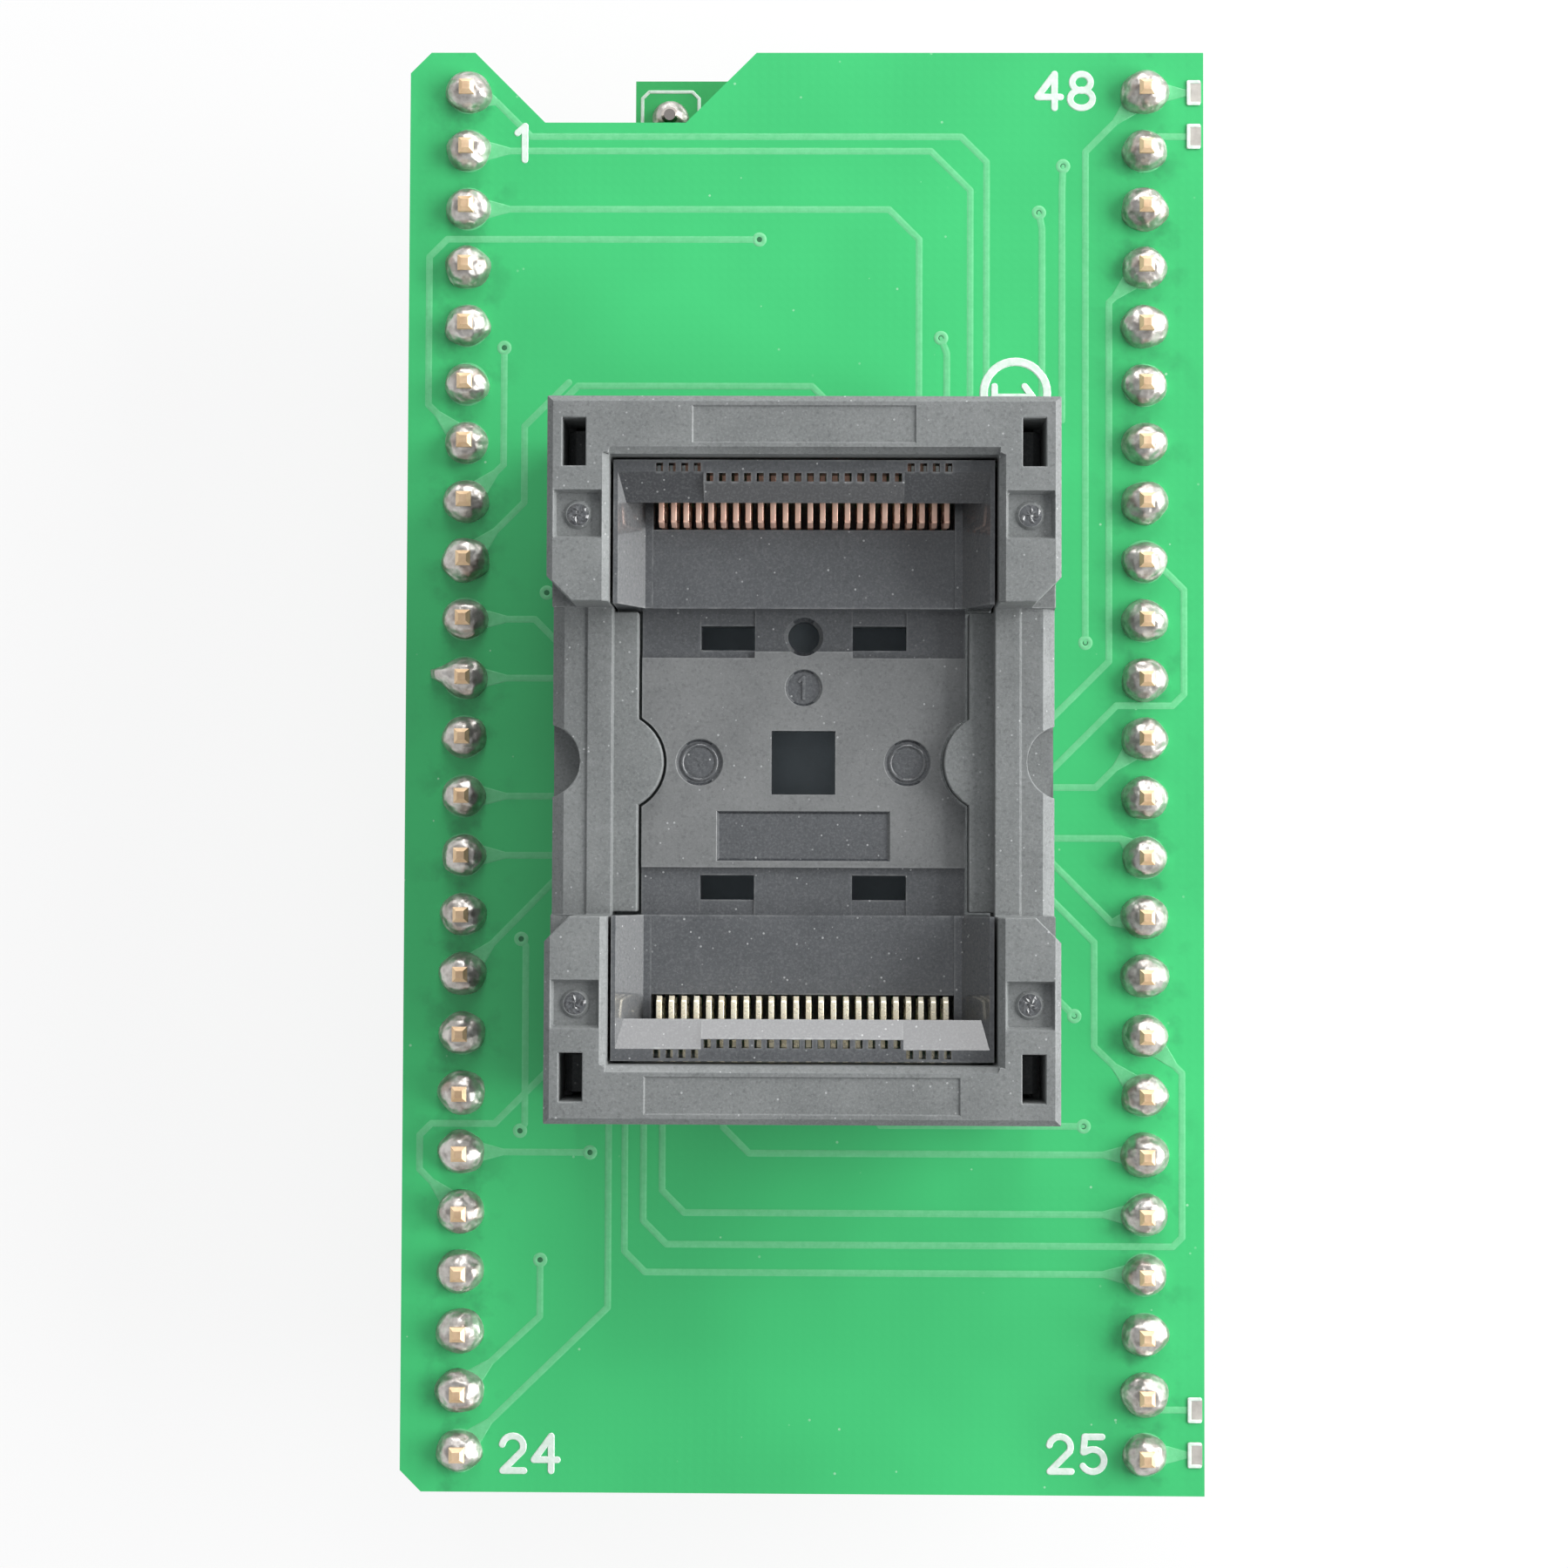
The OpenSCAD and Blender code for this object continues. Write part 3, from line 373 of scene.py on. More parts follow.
def ink_material(name, colour, shade, rough=0.5):
    """Printed ink or lacquered copper: slightly uneven cover."""
    s = Surface(name)
    grain = s.noise(3.4, 4.0, 0.65)
    tone = s.mix(s.span(grain, 0.35, 0.7), shade, colour)
    s.bump(grain, 0.2, 0.012)
    return s.finish(tone, s.span(s.noise(1.2, 3.0), 0.3, 0.7, rough - 0.08, rough + 0.1))


BOARD_CORE = (0.36, 0.40, 0.25)
mask = board_material("solder_mask", (0.052, 0.590, 0.186), (0.044, 0.505, 0.160), BOARD_CORE)
lower_mask = board_material("lower_mask", (0.045, 0.50, 0.14), (0.036, 0.40, 0.115), BOARD_CORE)
cover_plastic = plastic_material("cover_plastic", (0.215, 0.226, 0.224), (0.160, 0.170, 0.169))
guide_plastic = plastic_material(
    "guide_plastic", (0.104, 0.109, 0.116), (0.078, 0.083, 0.089), (0.16, 0.26),
    pad=(GUIDE_FLOOR, (0.190, 0.196, 0.196), (0.140, 0.146, 0.147)))
# The base's well takes a pale bluish grey, painted light in the deep window.
base_plastic = plastic_material(
    "base_plastic", (0.160, 0.170, 0.172), (0.118, 0.127, 0.130), well=(4.8, 8.0, (0.52, 0.60, 0.65)))
strip_plastic = plastic_material(
    "strip_plastic", (0.030, 0.030, 0.032), (0.018, 0.018, 0.020), (0.38, 0.55))
solder = solder_material("solder_tin")
pad_tin = metal_material(
    "pad_tin", (0.66, 0.63, 0.58), (0.52, 0.49, 0.45), (0.42, 0.60), 1.6, metallic=0.5)
pin_copper = metal_material(
    "pin_copper", (0.96, 0.72, 0.48), (0.74, 0.50, 0.30), (0.40, 0.60), 1.1, metallic=0.6)
plug_gold = metal_material(
    "plug_gold", (0.92, 0.70, 0.34), (0.74, 0.50, 0.20), (0.16, 0.32), 0.7, tinned_above=LOWER_TOP)
# One contact metal in two copies tinted by painted light: the rear copy pinker as painted reflection, the
# front copy pale cream as painted glare.
rear_metal_painted_tint = metal_material(
    "rear_contact_metal_painted_tint", (1.00, 0.69, 0.55), (0.88, 0.54, 0.42), (0.34, 0.52), 1.4, metallic=0.5)
front_metal_painted_glare = metal_material(
    "front_contact_metal_painted_glare", (1.00, 0.95, 0.78), (0.96, 0.85, 0.62), (0.22, 0.36), 1.4, metallic=0.4)
spring_steel = metal_material(
    "spring_steel", (0.66, 0.67, 0.69), (0.42, 0.43, 0.45), (0.18, 0.34), 1.0)
ink_white = ink_material("legend_ink", (0.83, 0.90, 0.85), (0.62, 0.78, 0.66))
trace_green = ink_material("trace_lacquer", (0.165, 0.625, 0.290), (0.125, 0.575, 0.240), 0.36)
via_lacquer = ink_material("via_lacquer", (0.205, 0.640, 0.320), (0.155, 0.590, 0.265), 0.4)
via_dark = ink_material("via_dark", (0.030, 0.210, 0.080), (0.018, 0.140, 0.054), 0.5)


# Mesh helpers

PATCH_LIFT = 0.0001


def circle(x, y, radius, steps):
    """Points of a circle, anticlockwise."""
    angles = [2 * math.pi * k / steps for k in range(steps)]
    return [(x + radius * math.cos(a), y + radius * math.sin(a)) for a in angles]


def arc(centre, radii, start, end, steps):
    """Points of a part of an oval, from one angle to another."""
    angles = [math.radians(start + (end - start) * k / steps) for k in range(steps + 1)]
    return [(centre[0] + radii[0] * math.cos(a), centre[1] + radii[1] * math.sin(a)) for a in angles]


def bands(rows, steps):
    """Faces between neighbouring rows of vertices, where each row is a closed loop of steps vertices."""
    return [(r * steps + k, r * steps + (k + 1) % steps,
             (r + 1) * steps + (k + 1) % steps, (r + 1) * steps + k)
            for r in range(rows - 1) for k in range(steps)]


def shrink(outline, inset):
    """The outline moved inwards by about inset."""
    out, count = [], len(outline)
    for i in range(count):
        a, b, c = Vector(outline[i - 1]), Vector(outline[i]), Vector(outline[(i + 1) % count])
        move = (b - a).orthogonal().normalized() + (c - b).orthogonal().normalized()
        out.append(tuple(b + move.normalized() * inset) if move.length > 1e-6 else tuple(b))
    return out


def stroke(points, width, cap_steps=8):
    """Anticlockwise outline of a line with round ends and round outer corners."""
    half = width / 2
    pts = [Vector(p) for p in points]

    def side(sequence):
        """Points on the right of the way that the line runs."""
        row = []
        for i, p in enumerate(sequence):
            before = (p - sequence[i - 1]).normalized() if i else None
            after = (sequence[i + 1] - p).normalized() if i + 1 < len(sequence) else None
            if before is None or after is None:
                d = after or before
                row.append(p + Vector((d.y, -d.x)) * half)
                continue
            n1, n2 = Vector((before.y, -before.x)), Vector((after.y, -after.x))
            turn = before.x * after.y - before.y * after.x
            if turn > 1e-6:
                steps = max(1, int(abs(math.degrees(n1.angle(n2))) / 20))
                row += [p + n1.slerp(n2, k / steps) * half for k in range(steps + 1)]
            else:
                both = (n1 + n2).normalized()
                row.append(p + both * (half / max(0.25, both.dot(n1))))
        return row

    def cap(end, before):
        """Points round the end of a line that comes from before."""
        way = (end - before).normalized()
        start = math.atan2(-way.x, way.y)
        angles = [start + math.pi * k / cap_steps for k in range(1, cap_steps)]
        return [end + half * Vector((math.cos(a), math.sin(a))) for a in angles]

    out = side(pts) + cap(pts[-1], pts[-2]) + side(pts[::-1]) + cap(pts[0], pts[1])
    return [tuple(p) for p in out]


class Shape:
    """Collects the vertices and faces of one piece."""

    def __init__(self):
        self.verts, self.faces = [], []
        self.lift = 0.0

    def add(self, verts, faces):
        """Every patch lies a hair above the last, so that no two faces coincide."""
        start = len(self.verts)
        self.verts += [(x, y, z + self.lift) for x, y, z in verts]
        self.lift += PATCH_LIFT
        self.faces += [tuple(start + i for i in f) for f in faces]

    def raised(self, outline, low, high, inset):
        """A flat raised patch with a narrow bevel and no underside. Its outline runs anticlockwise."""
        count = len(outline)
        inner = shrink(outline, inset)
        verts = [(x, y, low) for x, y in outline] + [(x, y, high) for x, y in inner]
        self.add(verts, bands(2, count) + [tuple(range(count, 2 * count))])

    def ring(self, centre, r_in, r_out, low, high, steps=28):
        """A flat raised ring with bevels that take a fifth of its width each."""
        bevel = (r_out - r_in) / 5
        rows = [(r_out, low), (r_out - bevel, high), (r_in + bevel, high), (r_in, low)]
        verts = [(x, y, z) for r, z in rows for x, y in circle(*centre, r, steps)]
        self.add(verts, bands(len(rows), steps))


def add_piece(name, shape, material, body, smooth=False):
    """A new piece that moves with a body and has the given material."""
    mesh = bpy.data.meshes.new(name)
    mesh.from_pydata([tuple(c * MM for c in v) for v in shape.verts], [], shape.faces)
    mesh.materials.append(material)
    mesh.validate()
    if smooth:
        mesh.shade_smooth()
    else:
        mesh.shade_flat()
    piece = bpy.data.objects.new(name, mesh)
    bpy.context.scene.collection.objects.link(piece)
    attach(piece, body)
    return piece


# Copper under the lacquer of the upper board, along listed routes

TRACES = [
    [left(0), (-13.4, 28.8), (-11.9, 27.3), (6.7, 27.3), (7.8, 26.2), (7.8, 15.0)],
    [left(1), (5.4, 26.67), (7.1, 24.97), (7.1, 15.0)],
    [left(2), (3.6, 24.13), (4.9, 22.83), (4.9, 15.0)],
    [(-2.0, 22.82), (-15.5, 22.82), (-16.27, 22.05), (-16.27, 15.63), left(6)],
    [(-13.0, 18.1), (-13.0, 13.04), left(7)],
    [(-10.2, 16.6), (-12.1, 14.7), (-12.1, 11.4), left(8)],
    [left(9), (-11.6, 6.35), (-10.2, 4.95)],
    [left(10), (-9.6, 3.81)],
    [left(12), (-9.6, -1.27)],
    [left(13), (-9.6, -3.81)],
    [left(15), (-10.4, -4.59)],
    [(-12.1, -7.4), (-11.9, -7.7), (-11.9, -15.3), (-12.1, -15.6)],
    [(-10.4, -12.5), (-13.2, -15.3), (-15.9, -15.3), (-16.4, -15.8), (-16.4, -17.25), left(19)],
    [left(18), (-9.1, -16.51)],
    [(-11.2, -21.1), (-11.2, -23.5), left(22)],
    [(-8.3, -13.9), (-8.3, -23.1), left(23)],
    [(-7.6, -13.9), (-7.6, -20.7), (-6.71, -21.59), right(20)],
    [(-6.8, -13.9), (-6.8, -19.4), (-5.8, -20.4), (15.8, -20.4), (16.2, -20.0), (16.2, -13.02),
     right(16)],
    [(-6.0, -13.9), (-6.0, -18.1), (-5.05, -19.05), right(19)],
    [(-3.4, -13.9), (-3.4, -15.4), (-2.29, -16.51), right(18)],
    [(12.0, -15.3), (11.8, -15.3), (3.3, -15.3)],
    [right(0), (12.07, 26.65), (12.07, 5.4)],
    [right(3), (13.08, 20.1), (13.08, 4.6), (9.9, 1.42)],
    [(11.1, 26.02), (11.06, 25.0), (11.06, 15.0)],
    [(10.06, 24.0), (10.2, 23.3), (10.2, 15.0)],
    [(5.85, 18.55), (6.1, 17.9), (6.1, 15.0)],
    [(-10.8, 15.45), (-9.8, 16.45), (0.3, 16.45), (1.4, 15.35)],
    [right(8), (15.1, 8.89), (16.3, 7.69), (16.3, 3.2), (15.8, 2.7), (13.4, 2.7), (9.9, -0.8)],
    [right(11), (12.5, -0.82), (9.9, -0.82)],
    [right(13), (13.6, -3.0), (9.9, -3.0)],
    [right(14), (13.2, -6.6), (9.9, -3.3)],
    [(9.9, -4.9), (12.45, -7.45), (12.45, -11.9), right(17)],
    [(11.6, -10.6), (10.4, -9.4)],
    [right(0), (16.6, 29.21)],
    [right(1), (15.25, 27.31), (16.6, 27.31)],
    [right(22), (15.25, -27.31), (16.6, -27.31)],
    [right(23), (16.6, -29.21)],
]
VIAS = [
    (-2.0, 22.82), (-13.0, 18.1), (-12.1, -7.4), (-12.1, -15.6), (-9.1, -16.51), (-11.2, -21.1),
    (12.0, -15.3), (12.07, 5.4), (11.1, 26.02), (10.06, 24.0), (5.85, 18.55), (11.6, -10.6), (-11.1, 7.5),
]
TRACE_W = 0.29
TRACE_TOP = BOARD_TOP + 0.009
TRACE_BEVEL = 0.08
PIN_RING = (0.55, 0.94)
DROP_W = 1.0
DROP_FROM = 0.5
DROP_TO = 1.8
DROP_BEVEL = 0.05
VIA_RING = (0.10, 0.31)
VIA_RING_TOP = BOARD_TOP + 0.0144
VIA_WELL_R = 0.13
VIA_WELL_TOP = BOARD_TOP + 0.0117
VIA_WELL_BEVEL = 0.02


def teardrop(end, towards):
    """Outline of a trace's taper where it leaves a pin's ring towards its next point."""
    way = Vector(towards) - Vector(end)
    tip = min(DROP_TO, way.length)
    way.normalize()
    across = Vector((-way.y, way.x))
    wide, narrow = across * DROP_W / 2, across * TRACE_W / 2
    start, stop = Vector(end) + way * DROP_FROM, Vector(end) + way * tip
    return [tuple(p) for p in (start - wide, stop - narrow, stop + narrow, start + wide)]


copper = Shape()
for route in TRACES:
    copper.raised(stroke(route, TRACE_W), BOARD_TOP, TRACE_TOP, TRACE_BEVEL)
    for end, towards in ((route[0], route[1]), (route[-1], route[-2])):
        if abs(abs(end[0]) - LINK_X) < 0.01:
            copper.raised(teardrop(end, towards), BOARD_TOP, TRACE_TOP, DROP_BEVEL)
for side_x in (-LINK_X, LINK_X):
    for i in range(PINS):
        copper.ring((side_x, pin_y(i)), *PIN_RING, BOARD_TOP, TRACE_TOP)
add_piece("copper_traces", copper, trace_green, "adapter")

via_rings, via_wells = Shape(), Shape()
for place in VIAS:
    via_rings.ring(place, *VIA_RING, BOARD_TOP, VIA_RING_TOP)
    via_wells.raised(circle(*place, VIA_WELL_R, 16), BOARD_TOP, VIA_WELL_TOP, VIA_WELL_BEVEL)
add_piece("via_rings", via_rings, via_lacquer, "adapter", smooth=True)
add_piece("via_wells", via_wells, via_dark, "adapter")


# Printed legend: plain pin numbers, the pin-one ring and outlines

DIGIT_LINES = {
    "1": [[(0.10, 0.80), (0.32, 1.0), (0.32, 0.0)]],
    "2": [arc((0.33, 0.70), (0.31, 0.30), 170, -25, 12) + [(0.04, 0.0), (0.66, 0.0)]],
    "4": [[(0.50, 0.0), (0.50, 1.0), (0.0, 0.32)], [(0.0, 0.32), (0.68, 0.32)]],
    "5": [[(0.60, 1.0), (0.10, 1.0), (0.06, 0.56)] + arc((0.33, 0.32), (0.33, 0.32), 125, -150, 16)],
}
EIGHT_OVALS = [((0.34, 0.755), (0.27, 0.245)), ((0.34, 0.265), (0.33, 0.265))]
DIGIT_H = 1.47
DIGIT_STEP = 0.95
INK_W = 0.29
THIN_INK_W = 0.15
INK_LOW = 0.0018
INK_HIGH = 0.023
INK_BEVEL = 0.03
RING_INK_W = 0.36


def ink_line(shape, points, level, width=INK_W):
    """A printed line with round ends."""
    shape.raised(stroke(points, width), level + INK_LOW, level + INK_HIGH, INK_BEVEL)


def ink_loop(shape, centre, radii, level, width=INK_W, steps=36):
    """A closed oval line."""
    rows = [(1.0, INK_LOW), (0.75, INK_HIGH), (-0.75, INK_HIGH), (-1.0, INK_LOW)]
    verts = []
    for share, rise in rows:
        wide, long = (radius + share * width / 2 for radius in radii)
        for x, y in circle(0, 0, 1.0, steps):
            verts.append((centre[0] + wide * x, centre[1] + long * y, level + rise))
    shape.add(verts, bands(len(rows), steps))


def ink_number(shape, text, x, y, level, height=DIGIT_H):
    """Digits with their lower left corner at x, y. An eight is two ovals, the others are lines."""
    for character in text:
        if character == "8":
            for (px, py), radii in EIGHT_OVALS:
                ink_loop(shape, (x + px * height, y + py * height), [r * height for r in radii], level)
        else:
            for line in DIGIT_LINES[character]:
                ink_line(shape, [(x + px * height, y + py * height) for px, py in line], level)
        x += DIGIT_STEP * height


legend = Shape()
ink_number(legend, "48", 9.99, 28.56, BOARD_TOP)
ink_number(legend, "1", -12.64, 26.28, BOARD_TOP)
ink_number(legend, "24", -12.81, -30.05, BOARD_TOP)
ink_number(legend, "25", 10.51, -29.94, BOARD_TOP)
ink_loop(legend, (9.05, 16.17), (1.36, 1.36), BOARD_TOP, RING_INK_W)
ink_line(legend, [(8.15, 16.46), (8.15, 16.0), (9.80, 16.0), (9.45, 16.46)], BOARD_TOP)

PAD_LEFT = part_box("edge_pads")[0].x / MM
PAD_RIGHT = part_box("edge_pads")[1].x / MM
PAD_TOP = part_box("edge_pads")[1].z / MM
PAD_GAPS = (1.75, 3.65)
PAD_PLACES = [side * (END_Y - gap) for side in (-1, 1) for gap in PAD_GAPS]
RIM_HALF = 0.47
RIM_GAP = 0.1
RIM_END = PAD_RIGHT - RIM_GAP
for y in PAD_PLACES:
    rim = [(RIM_END, y + RIM_HALF), (PAD_LEFT, y + RIM_HALF),
           (PAD_LEFT, y - RIM_HALF), (RIM_END, y - RIM_HALF)]
    ink_line(legend, rim, PAD_TOP, THIN_INK_W)
add_piece("board_legend", legend, ink_white, "adapter")

lower_legend = Shape()
FRAME_L = (ROW_L + PIN_PITCH) / 2
FRAME_CUT = 0.3
FRAME_LAP = 0.05
for x in PLUG_X:
    left_x, right_x = x - PIN_PITCH / 2, x + PIN_PITCH / 2
    corners = [
        (left_x + FRAME_CUT, FRAME_L), (left_x, FRAME_L - FRAME_CUT),
        (left_x, FRAME_CUT - FRAME_L), (left_x + FRAME_CUT, -FRAME_L),
        (right_x - FRAME_CUT, -FRAME_L), (right_x, FRAME_CUT - FRAME_L),
        (right_x, FRAME_L - FRAME_CUT), (right_x - FRAME_CUT, FRAME_L),
        (left_x + FRAME_CUT + FRAME_LAP, FRAME_L),
    ]
    ink_line(lower_legend, corners, LOWER_TOP, THIN_INK_W)
add_piece("lower_board_legend", lower_legend, ink_white, "adapter")

MARK_LINE = [(-0.18, 3.32), (0.0, 3.52), (0.0, 2.62)]
MARK_W = 0.13
MARK_SINK = 0.01
MARK_LIFT = 0.06
MARK_BEVEL = 0.02
floor_mark = Shape()
floor_mark.raised(stroke(MARK_LINE, MARK_W), MARK_LEVEL - MARK_SINK, MARK_LEVEL + MARK_LIFT, MARK_BEVEL)
add_piece("floor_mark", floor_mark, guide_plastic, "adapter")


# Hand-soldered joints on the upper board

JOINT_R = 0.96
JOINT_H = 0.92
JOINT_STRETCH = 1.05
JOINT_STEPS = 26
JOINT_ROWS = 9
JOINT_MIN_R = 0.05
SPIKED_JOINT = ("left", 10)
SPIKE_REACH = 0.55
SPIKE_WAY = 172.0
SPIKE_SPREAD = 16


def solder_blob(shape, x, y, rng, reach):
    """A lumpy cone of solder round a pin; reach pulls a spike out to one side."""
    radius = JOINT_R * rng.uniform(0.95, 1.05)
    height = JOINT_H * rng.uniform(0.9, 1.1)
    waves = [(n, rng.uniform(0.006, 0.032), rng.uniform(0, 2 * math.pi)) for n in (2, 3, 5)]
    lean = rng.uniform(0, 2 * math.pi)
    tilt = rng.uniform(0.02, 0.12)
    verts = []
    for r in range(JOINT_ROWS + 1):
        t = r / JOINT_ROWS
        share = math.cos(t * math.pi / 2) ** 0.85 if r < JOINT_ROWS else 0.0
        rise = math.sin(t * math.pi / 2) ** 1.15
        for k in range(JOINT_STEPS):
            a = 2 * math.pi * k / JOINT_STEPS
            ripple = sum(size * math.sin(n * a + phase) for n, size, phase in waves) * (1 - 0.4 * t)
            off_way = abs((math.degrees(a) - SPIKE_WAY + 180) % 360 - 180)
            pull = reach * math.exp(-(off_way / SPIKE_SPREAD) ** 2) * share
            wide = max(radius * share * (1 + ripple) + pull, JOINT_MIN_R)
            z = height * rise * (1 + tilt * share * math.cos(a - lean))
            verts.append((x + wide * JOINT_STRETCH * math.cos(a),
                          y + wide / JOINT_STRETCH * math.sin(a), BOARD_TOP + z))
    top = tuple(JOINT_ROWS * JOINT_STEPS + k for k in range(JOINT_STEPS))
    shape.add(verts, bands(JOINT_ROWS + 1, JOINT_STEPS) + [top])


for name, side_x, seed in (("left", -LINK_X, 11), ("right", LINK_X, 23)):
    blobs, rng = Shape(), random.Random(seed)
    for i in range(PINS):
        solder_blob(blobs, side_x, pin_y(i), rng, SPIKE_REACH if (name, i) == SPIKED_JOINT else 0.0)
    joints = add_piece(name + "_hand_solder", blobs, solder, "adapter", smooth=True)
    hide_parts(name + "_upper_joints")


# Return springs, as smooth wire

SPRING_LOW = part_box("return_springs")[0].z / MM
SPRING_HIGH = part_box("return_springs")[1].z / MM
SPRING_D = 1.5
WIRE_D = 0.22
SPRING_TURNS = 7
SPRING_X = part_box("return_springs")[1].x / MM - SPRING_D / 2
SPRING_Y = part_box("return_springs")[1].y / MM - SPRING_D / 2
SPRING_PLACES = [(SPRING_X * sx, SPRING_Y * sy) for sx in (-1, 1) for sy in (-1, 1)]


def coil(shape, x, y, steps_per_turn=28, sides=10):
    """A coiled round wire with flat ends."""
    steps = SPRING_TURNS * steps_per_turn
    climb = (SPRING_HIGH - SPRING_LOW - WIRE_D) / steps
    verts = []
    for k in range(steps + 1):
        turn = 2 * math.pi * k / steps_per_turn
        z = SPRING_LOW + WIRE_D / 2 + climb * k
        for out, up in circle((SPRING_D - WIRE_D) / 2, 0, WIRE_D / 2, sides):
            verts.append((x + out * math.cos(turn), y + out * math.sin(turn), z + up))
    ends = [tuple(range(sides - 1, -1, -1)), tuple(steps * sides + s for s in range(sides))]
    shape.add(verts, [face[::-1] for face in bands(steps + 1, sides) + ends])


springs = Shape()
for place in SPRING_PLACES:
    coil(springs, *place)
wire = add_piece("spring_wire", springs, spring_steel, "adapter", smooth=True)
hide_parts("return_springs")
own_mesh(wire)


# Rough ejector marks in the floor's dimples and the cover's pockets

DIMPLE_X = 4.25
DIMPLE_R = 0.62
DIMPLE_RING = (0.64, 0.78)
DIMPLE_LIFT = 0.05
POCKET_DEPTH = 0.35
PIP_LEVEL = COVER_TOP - POCKET_DEPTH * 2 / 3
PIP_R = 0.44
PIP_LIFT = 0.07


def rough_mark(shape, x, y, level, radius, lift, rng, rows=6, steps=24):
    """A lumpy disc with a level rim."""
    verts = [(x, y, level + lift * rng.uniform(0.2, 1.0))]
    for r in range(1, rows + 1):
        for px, py in circle(x, y, radius * r / rows, steps):
            verts.append((px, py, level + (lift * rng.uniform(0.0, 1.0) if r < rows else 0.0)))
    faces = [(0, 1 + k, 1 + (k + 1) % steps) for k in range(steps)]
    faces += [(1 + a, 1 + d, 1 + c, 1 + b) for a, b, c, d in bands(rows, steps)]
    shape.add(verts, faces)


rng = random.Random(5)
dimples = Shape()
for x in (-DIMPLE_X, DIMPLE_X):
    rough_mark(dimples, x, 0.0, MARK_LEVEL, DIMPLE_R, DIMPLE_LIFT, rng)
    dimples.ring((x, 0.0), *DIMPLE_RING, MARK_LEVEL, MARK_LEVEL + DIMPLE_LIFT, 40)
add_piece("floor_marks", dimples, guide_plastic, "adapter", smooth=True)
pips = Shape()
for x, y in SPRING_PLACES:
    rough_mark(pips, x, y, PIP_LEVEL, PIP_R, PIP_LIFT, rng, rows=4, steps=18)
add_piece("pocket_marks", pips, guide_plastic, "cover")


# Finishes of the CAD nodes; those not named here are solder

FINISHES = {
    "upper_board": mask, "lower_board": lower_mask,
    "left_link_strip": strip_plastic, "right_link_strip": strip_plastic,
    "left_plug_strip": strip_plastic, "right_plug_strip": strip_plastic,
    "left_link_pins": pin_copper, "right_link_pins": pin_copper,
    "left_plug_pins": plug_gold, "right_plug_pins": plug_gold, "edge_pads": pad_tin,
    "actuator_cover": cover_plastic, "package_guide": guide_plastic, "socket_base": base_plastic,
    "rear_contact_arms": rear_metal_painted_tint, "rear_contact_stems": rear_metal_painted_tint,
    "front_contact_arms": front_metal_painted_glare, "front_contact_stems": front_metal_painted_glare,
}
for name, piece in nodes.items():
    piece.data.materials.clear()
    piece.data.materials.append(FINISHES.get(name, solder))


WELD_REACH = 0.002
MOULDED_EDGE = 0.05
FINE_EDGE = 0.03


def soften(name, width_mm, segments=2, angle=35.0, smooth=True):
    """Rounds a moulded or stamped node's edges without touching its mesh."""
    piece = nodes[name]
    weld = piece.modifiers.new("weld", "WELD")
    weld.merge_threshold = WELD_REACH * MM
    bevel = piece.modifiers.new("edges", "BEVEL")
    bevel.width = width_mm * MM
    bevel.segments = segments
    bevel.limit_method = "ANGLE"
    bevel.angle_limit = math.radians(angle)
    bevel.use_clamp_overlap = False
    bevel.miter_outer = "MITER_ARC"
    if smooth:
        normals = piece.modifiers.new("normals", "WEIGHTED_NORMAL")
        normals.keep_sharp = False


soften("actuator_cover", MOULDED_EDGE, angle=80.0, smooth=False)
soften("socket_base", FINE_EDGE)
for name in ("rear_contact_arms", "front_contact_arms"):
    soften(name, FINE_EDGE, segments=3)
for name in ("left_link_strip", "right_link_strip", "left_plug_strip", "right_plug_strip"):
    soften(name, MOULDED_EDGE)


# Stage, light and camera, in metres

FLOOR_REACH = 3.0
FLOOR_GREY = 0.86
FLOOR_GLOW = 0.86
FLOOR_GAP = 0.00002
SKY_COLOUR = (0.95, 0.97, 1.0, 1)
SKY_STRENGTH = 0.42
HORIZON_FADE = (0.35, 0.8)
WHITE = (1, 1, 1, 1)


def shown(n):
    """One for rays that show the backdrop, straight or in metal and glass, and nought for its light."""
    path = n.new("LightPath").outputs
    mirrored = n.plus(path["Is Glossy Ray"], path["Is Transmission Ray"])
    return n.math("MINIMUM", n.plus(path["Is Camera Ray"], mirrored), 1.0)


def floor_material():
    """Pale floor that shows white and keeps a soft shadow."""
    material = bpy.data.materials.new("studio_floor")
    material.use_nodes = True
    n = Nodes(material.node_tree)
    shader = n.tree.nodes["Principled BSDF"]
    shader.inputs["Base Color"].default_value = (FLOOR_GREY, FLOOR_GREY, FLOOR_GREY, 1)
    shader.inputs["Roughness"].default_value = 0.8
    glow = n.new("Emission")
    glow.inputs["Color"].default_value = WHITE
    surface = n.blend(n.times(shown(n), FLOOR_GLOW), shader.outputs[0], glow.outputs[0])
    n.link(surface, n.tree.nodes["Material Output"].inputs["Surface"])
    return material


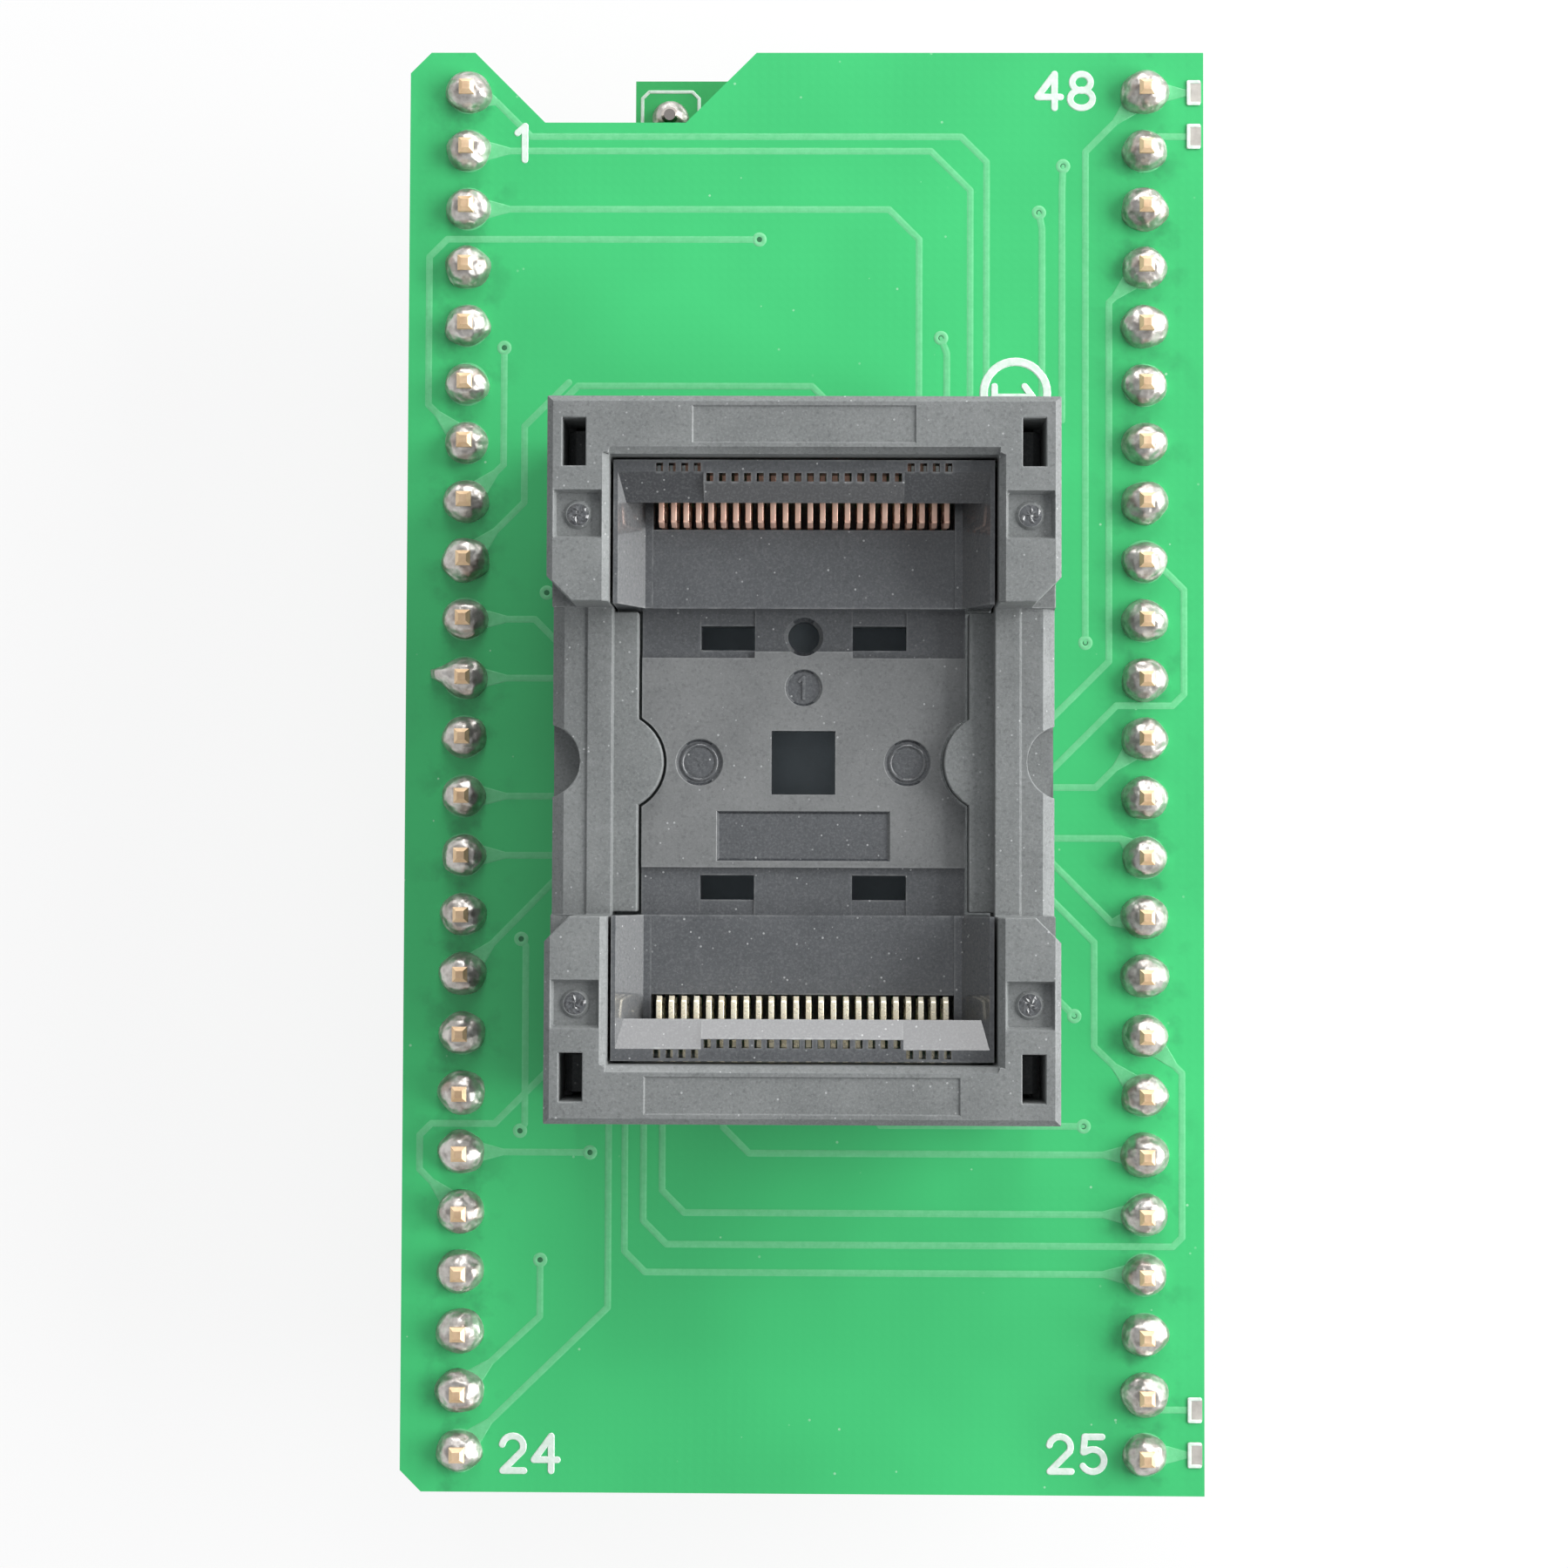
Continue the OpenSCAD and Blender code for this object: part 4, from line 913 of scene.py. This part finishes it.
floor_corners = [(x * FLOOR_REACH, y * FLOOR_REACH, 0) for x, y in ((-1, -1), (1, -1), (1, 1), (-1, 1))]
floor_mesh = bpy.data.meshes.new("studio_floor")
floor_mesh.from_pydata(floor_corners, [], [(0, 1, 2, 3)])
floor_mesh.materials.append(floor_material())
studio_floor = bpy.data.objects.new("studio_floor", floor_mesh)
studio_floor.location.z = FLOOR_LEVEL * MM - FLOOR_GAP
bpy.context.scene.collection.objects.link(studio_floor)

world = bpy.data.worlds.new("studio")
bpy.context.scene.world = world
world.use_nodes = True
sky = Nodes(world.node_tree)
background = sky.tree.nodes["Background"]
background.inputs["Color"].default_value = SKY_COLOUR
background.inputs["Strength"].default_value = SKY_STRENGTH
seen = sky.new("Background")
seen.inputs["Color"].default_value = WHITE
seen.inputs["Strength"].default_value = 1.0
way = sky.new("SeparateXYZ")
sky.link(sky.new("TexCoord").outputs["Generated"], way.inputs[0])
horizon = sky.span(way.outputs["Z"], *HORIZON_FADE, 1.0, 0.0)
backdrop = sky.blend(sky.times(shown(sky), horizon), background.outputs[0], seen.outputs[0])
sky.link(backdrop, sky.tree.nodes["World Output"].inputs["Surface"])


def lamp(name, place, size, watts, target=(0, 0, 0.015)):
    """A window of light that faces the part."""
    data = bpy.data.lights.new(name, "AREA")
    data.shape = "RECTANGLE"
    data.size, data.size_y = size
    data.energy = watts
    light = bpy.data.objects.new(name, data)
    light.location = place
    light.rotation_euler = (Vector(target) - Vector(place)).to_track_quat("-Z", "Y").to_euler()
    bpy.context.scene.collection.objects.link(light)


lamp("right_window", (0.30, 0.05, 0.140), (0.42, 0.22), 2.30)
lamp("rear_window", (0.02, 0.38, 0.190), (0.20, 0.28), 0.85)

camera_data = bpy.data.cameras.new("photo_camera")
camera_data.sensor_width = 36.0
camera_data.lens = 59.42
camera_data.clip_start, camera_data.clip_end = 0.005, 10.0
camera = bpy.data.objects.new("photo_camera", camera_data)
camera.location = (0.41 * MM, -3.95 * MM, 123.81 * MM)
camera.rotation_euler = [math.radians(a) for a in (1.673, 0.644, 0.215)]
bpy.context.scene.collection.objects.link(camera)
bpy.context.scene.camera = camera

bpy.context.scene.view_settings.view_transform = "Standard"
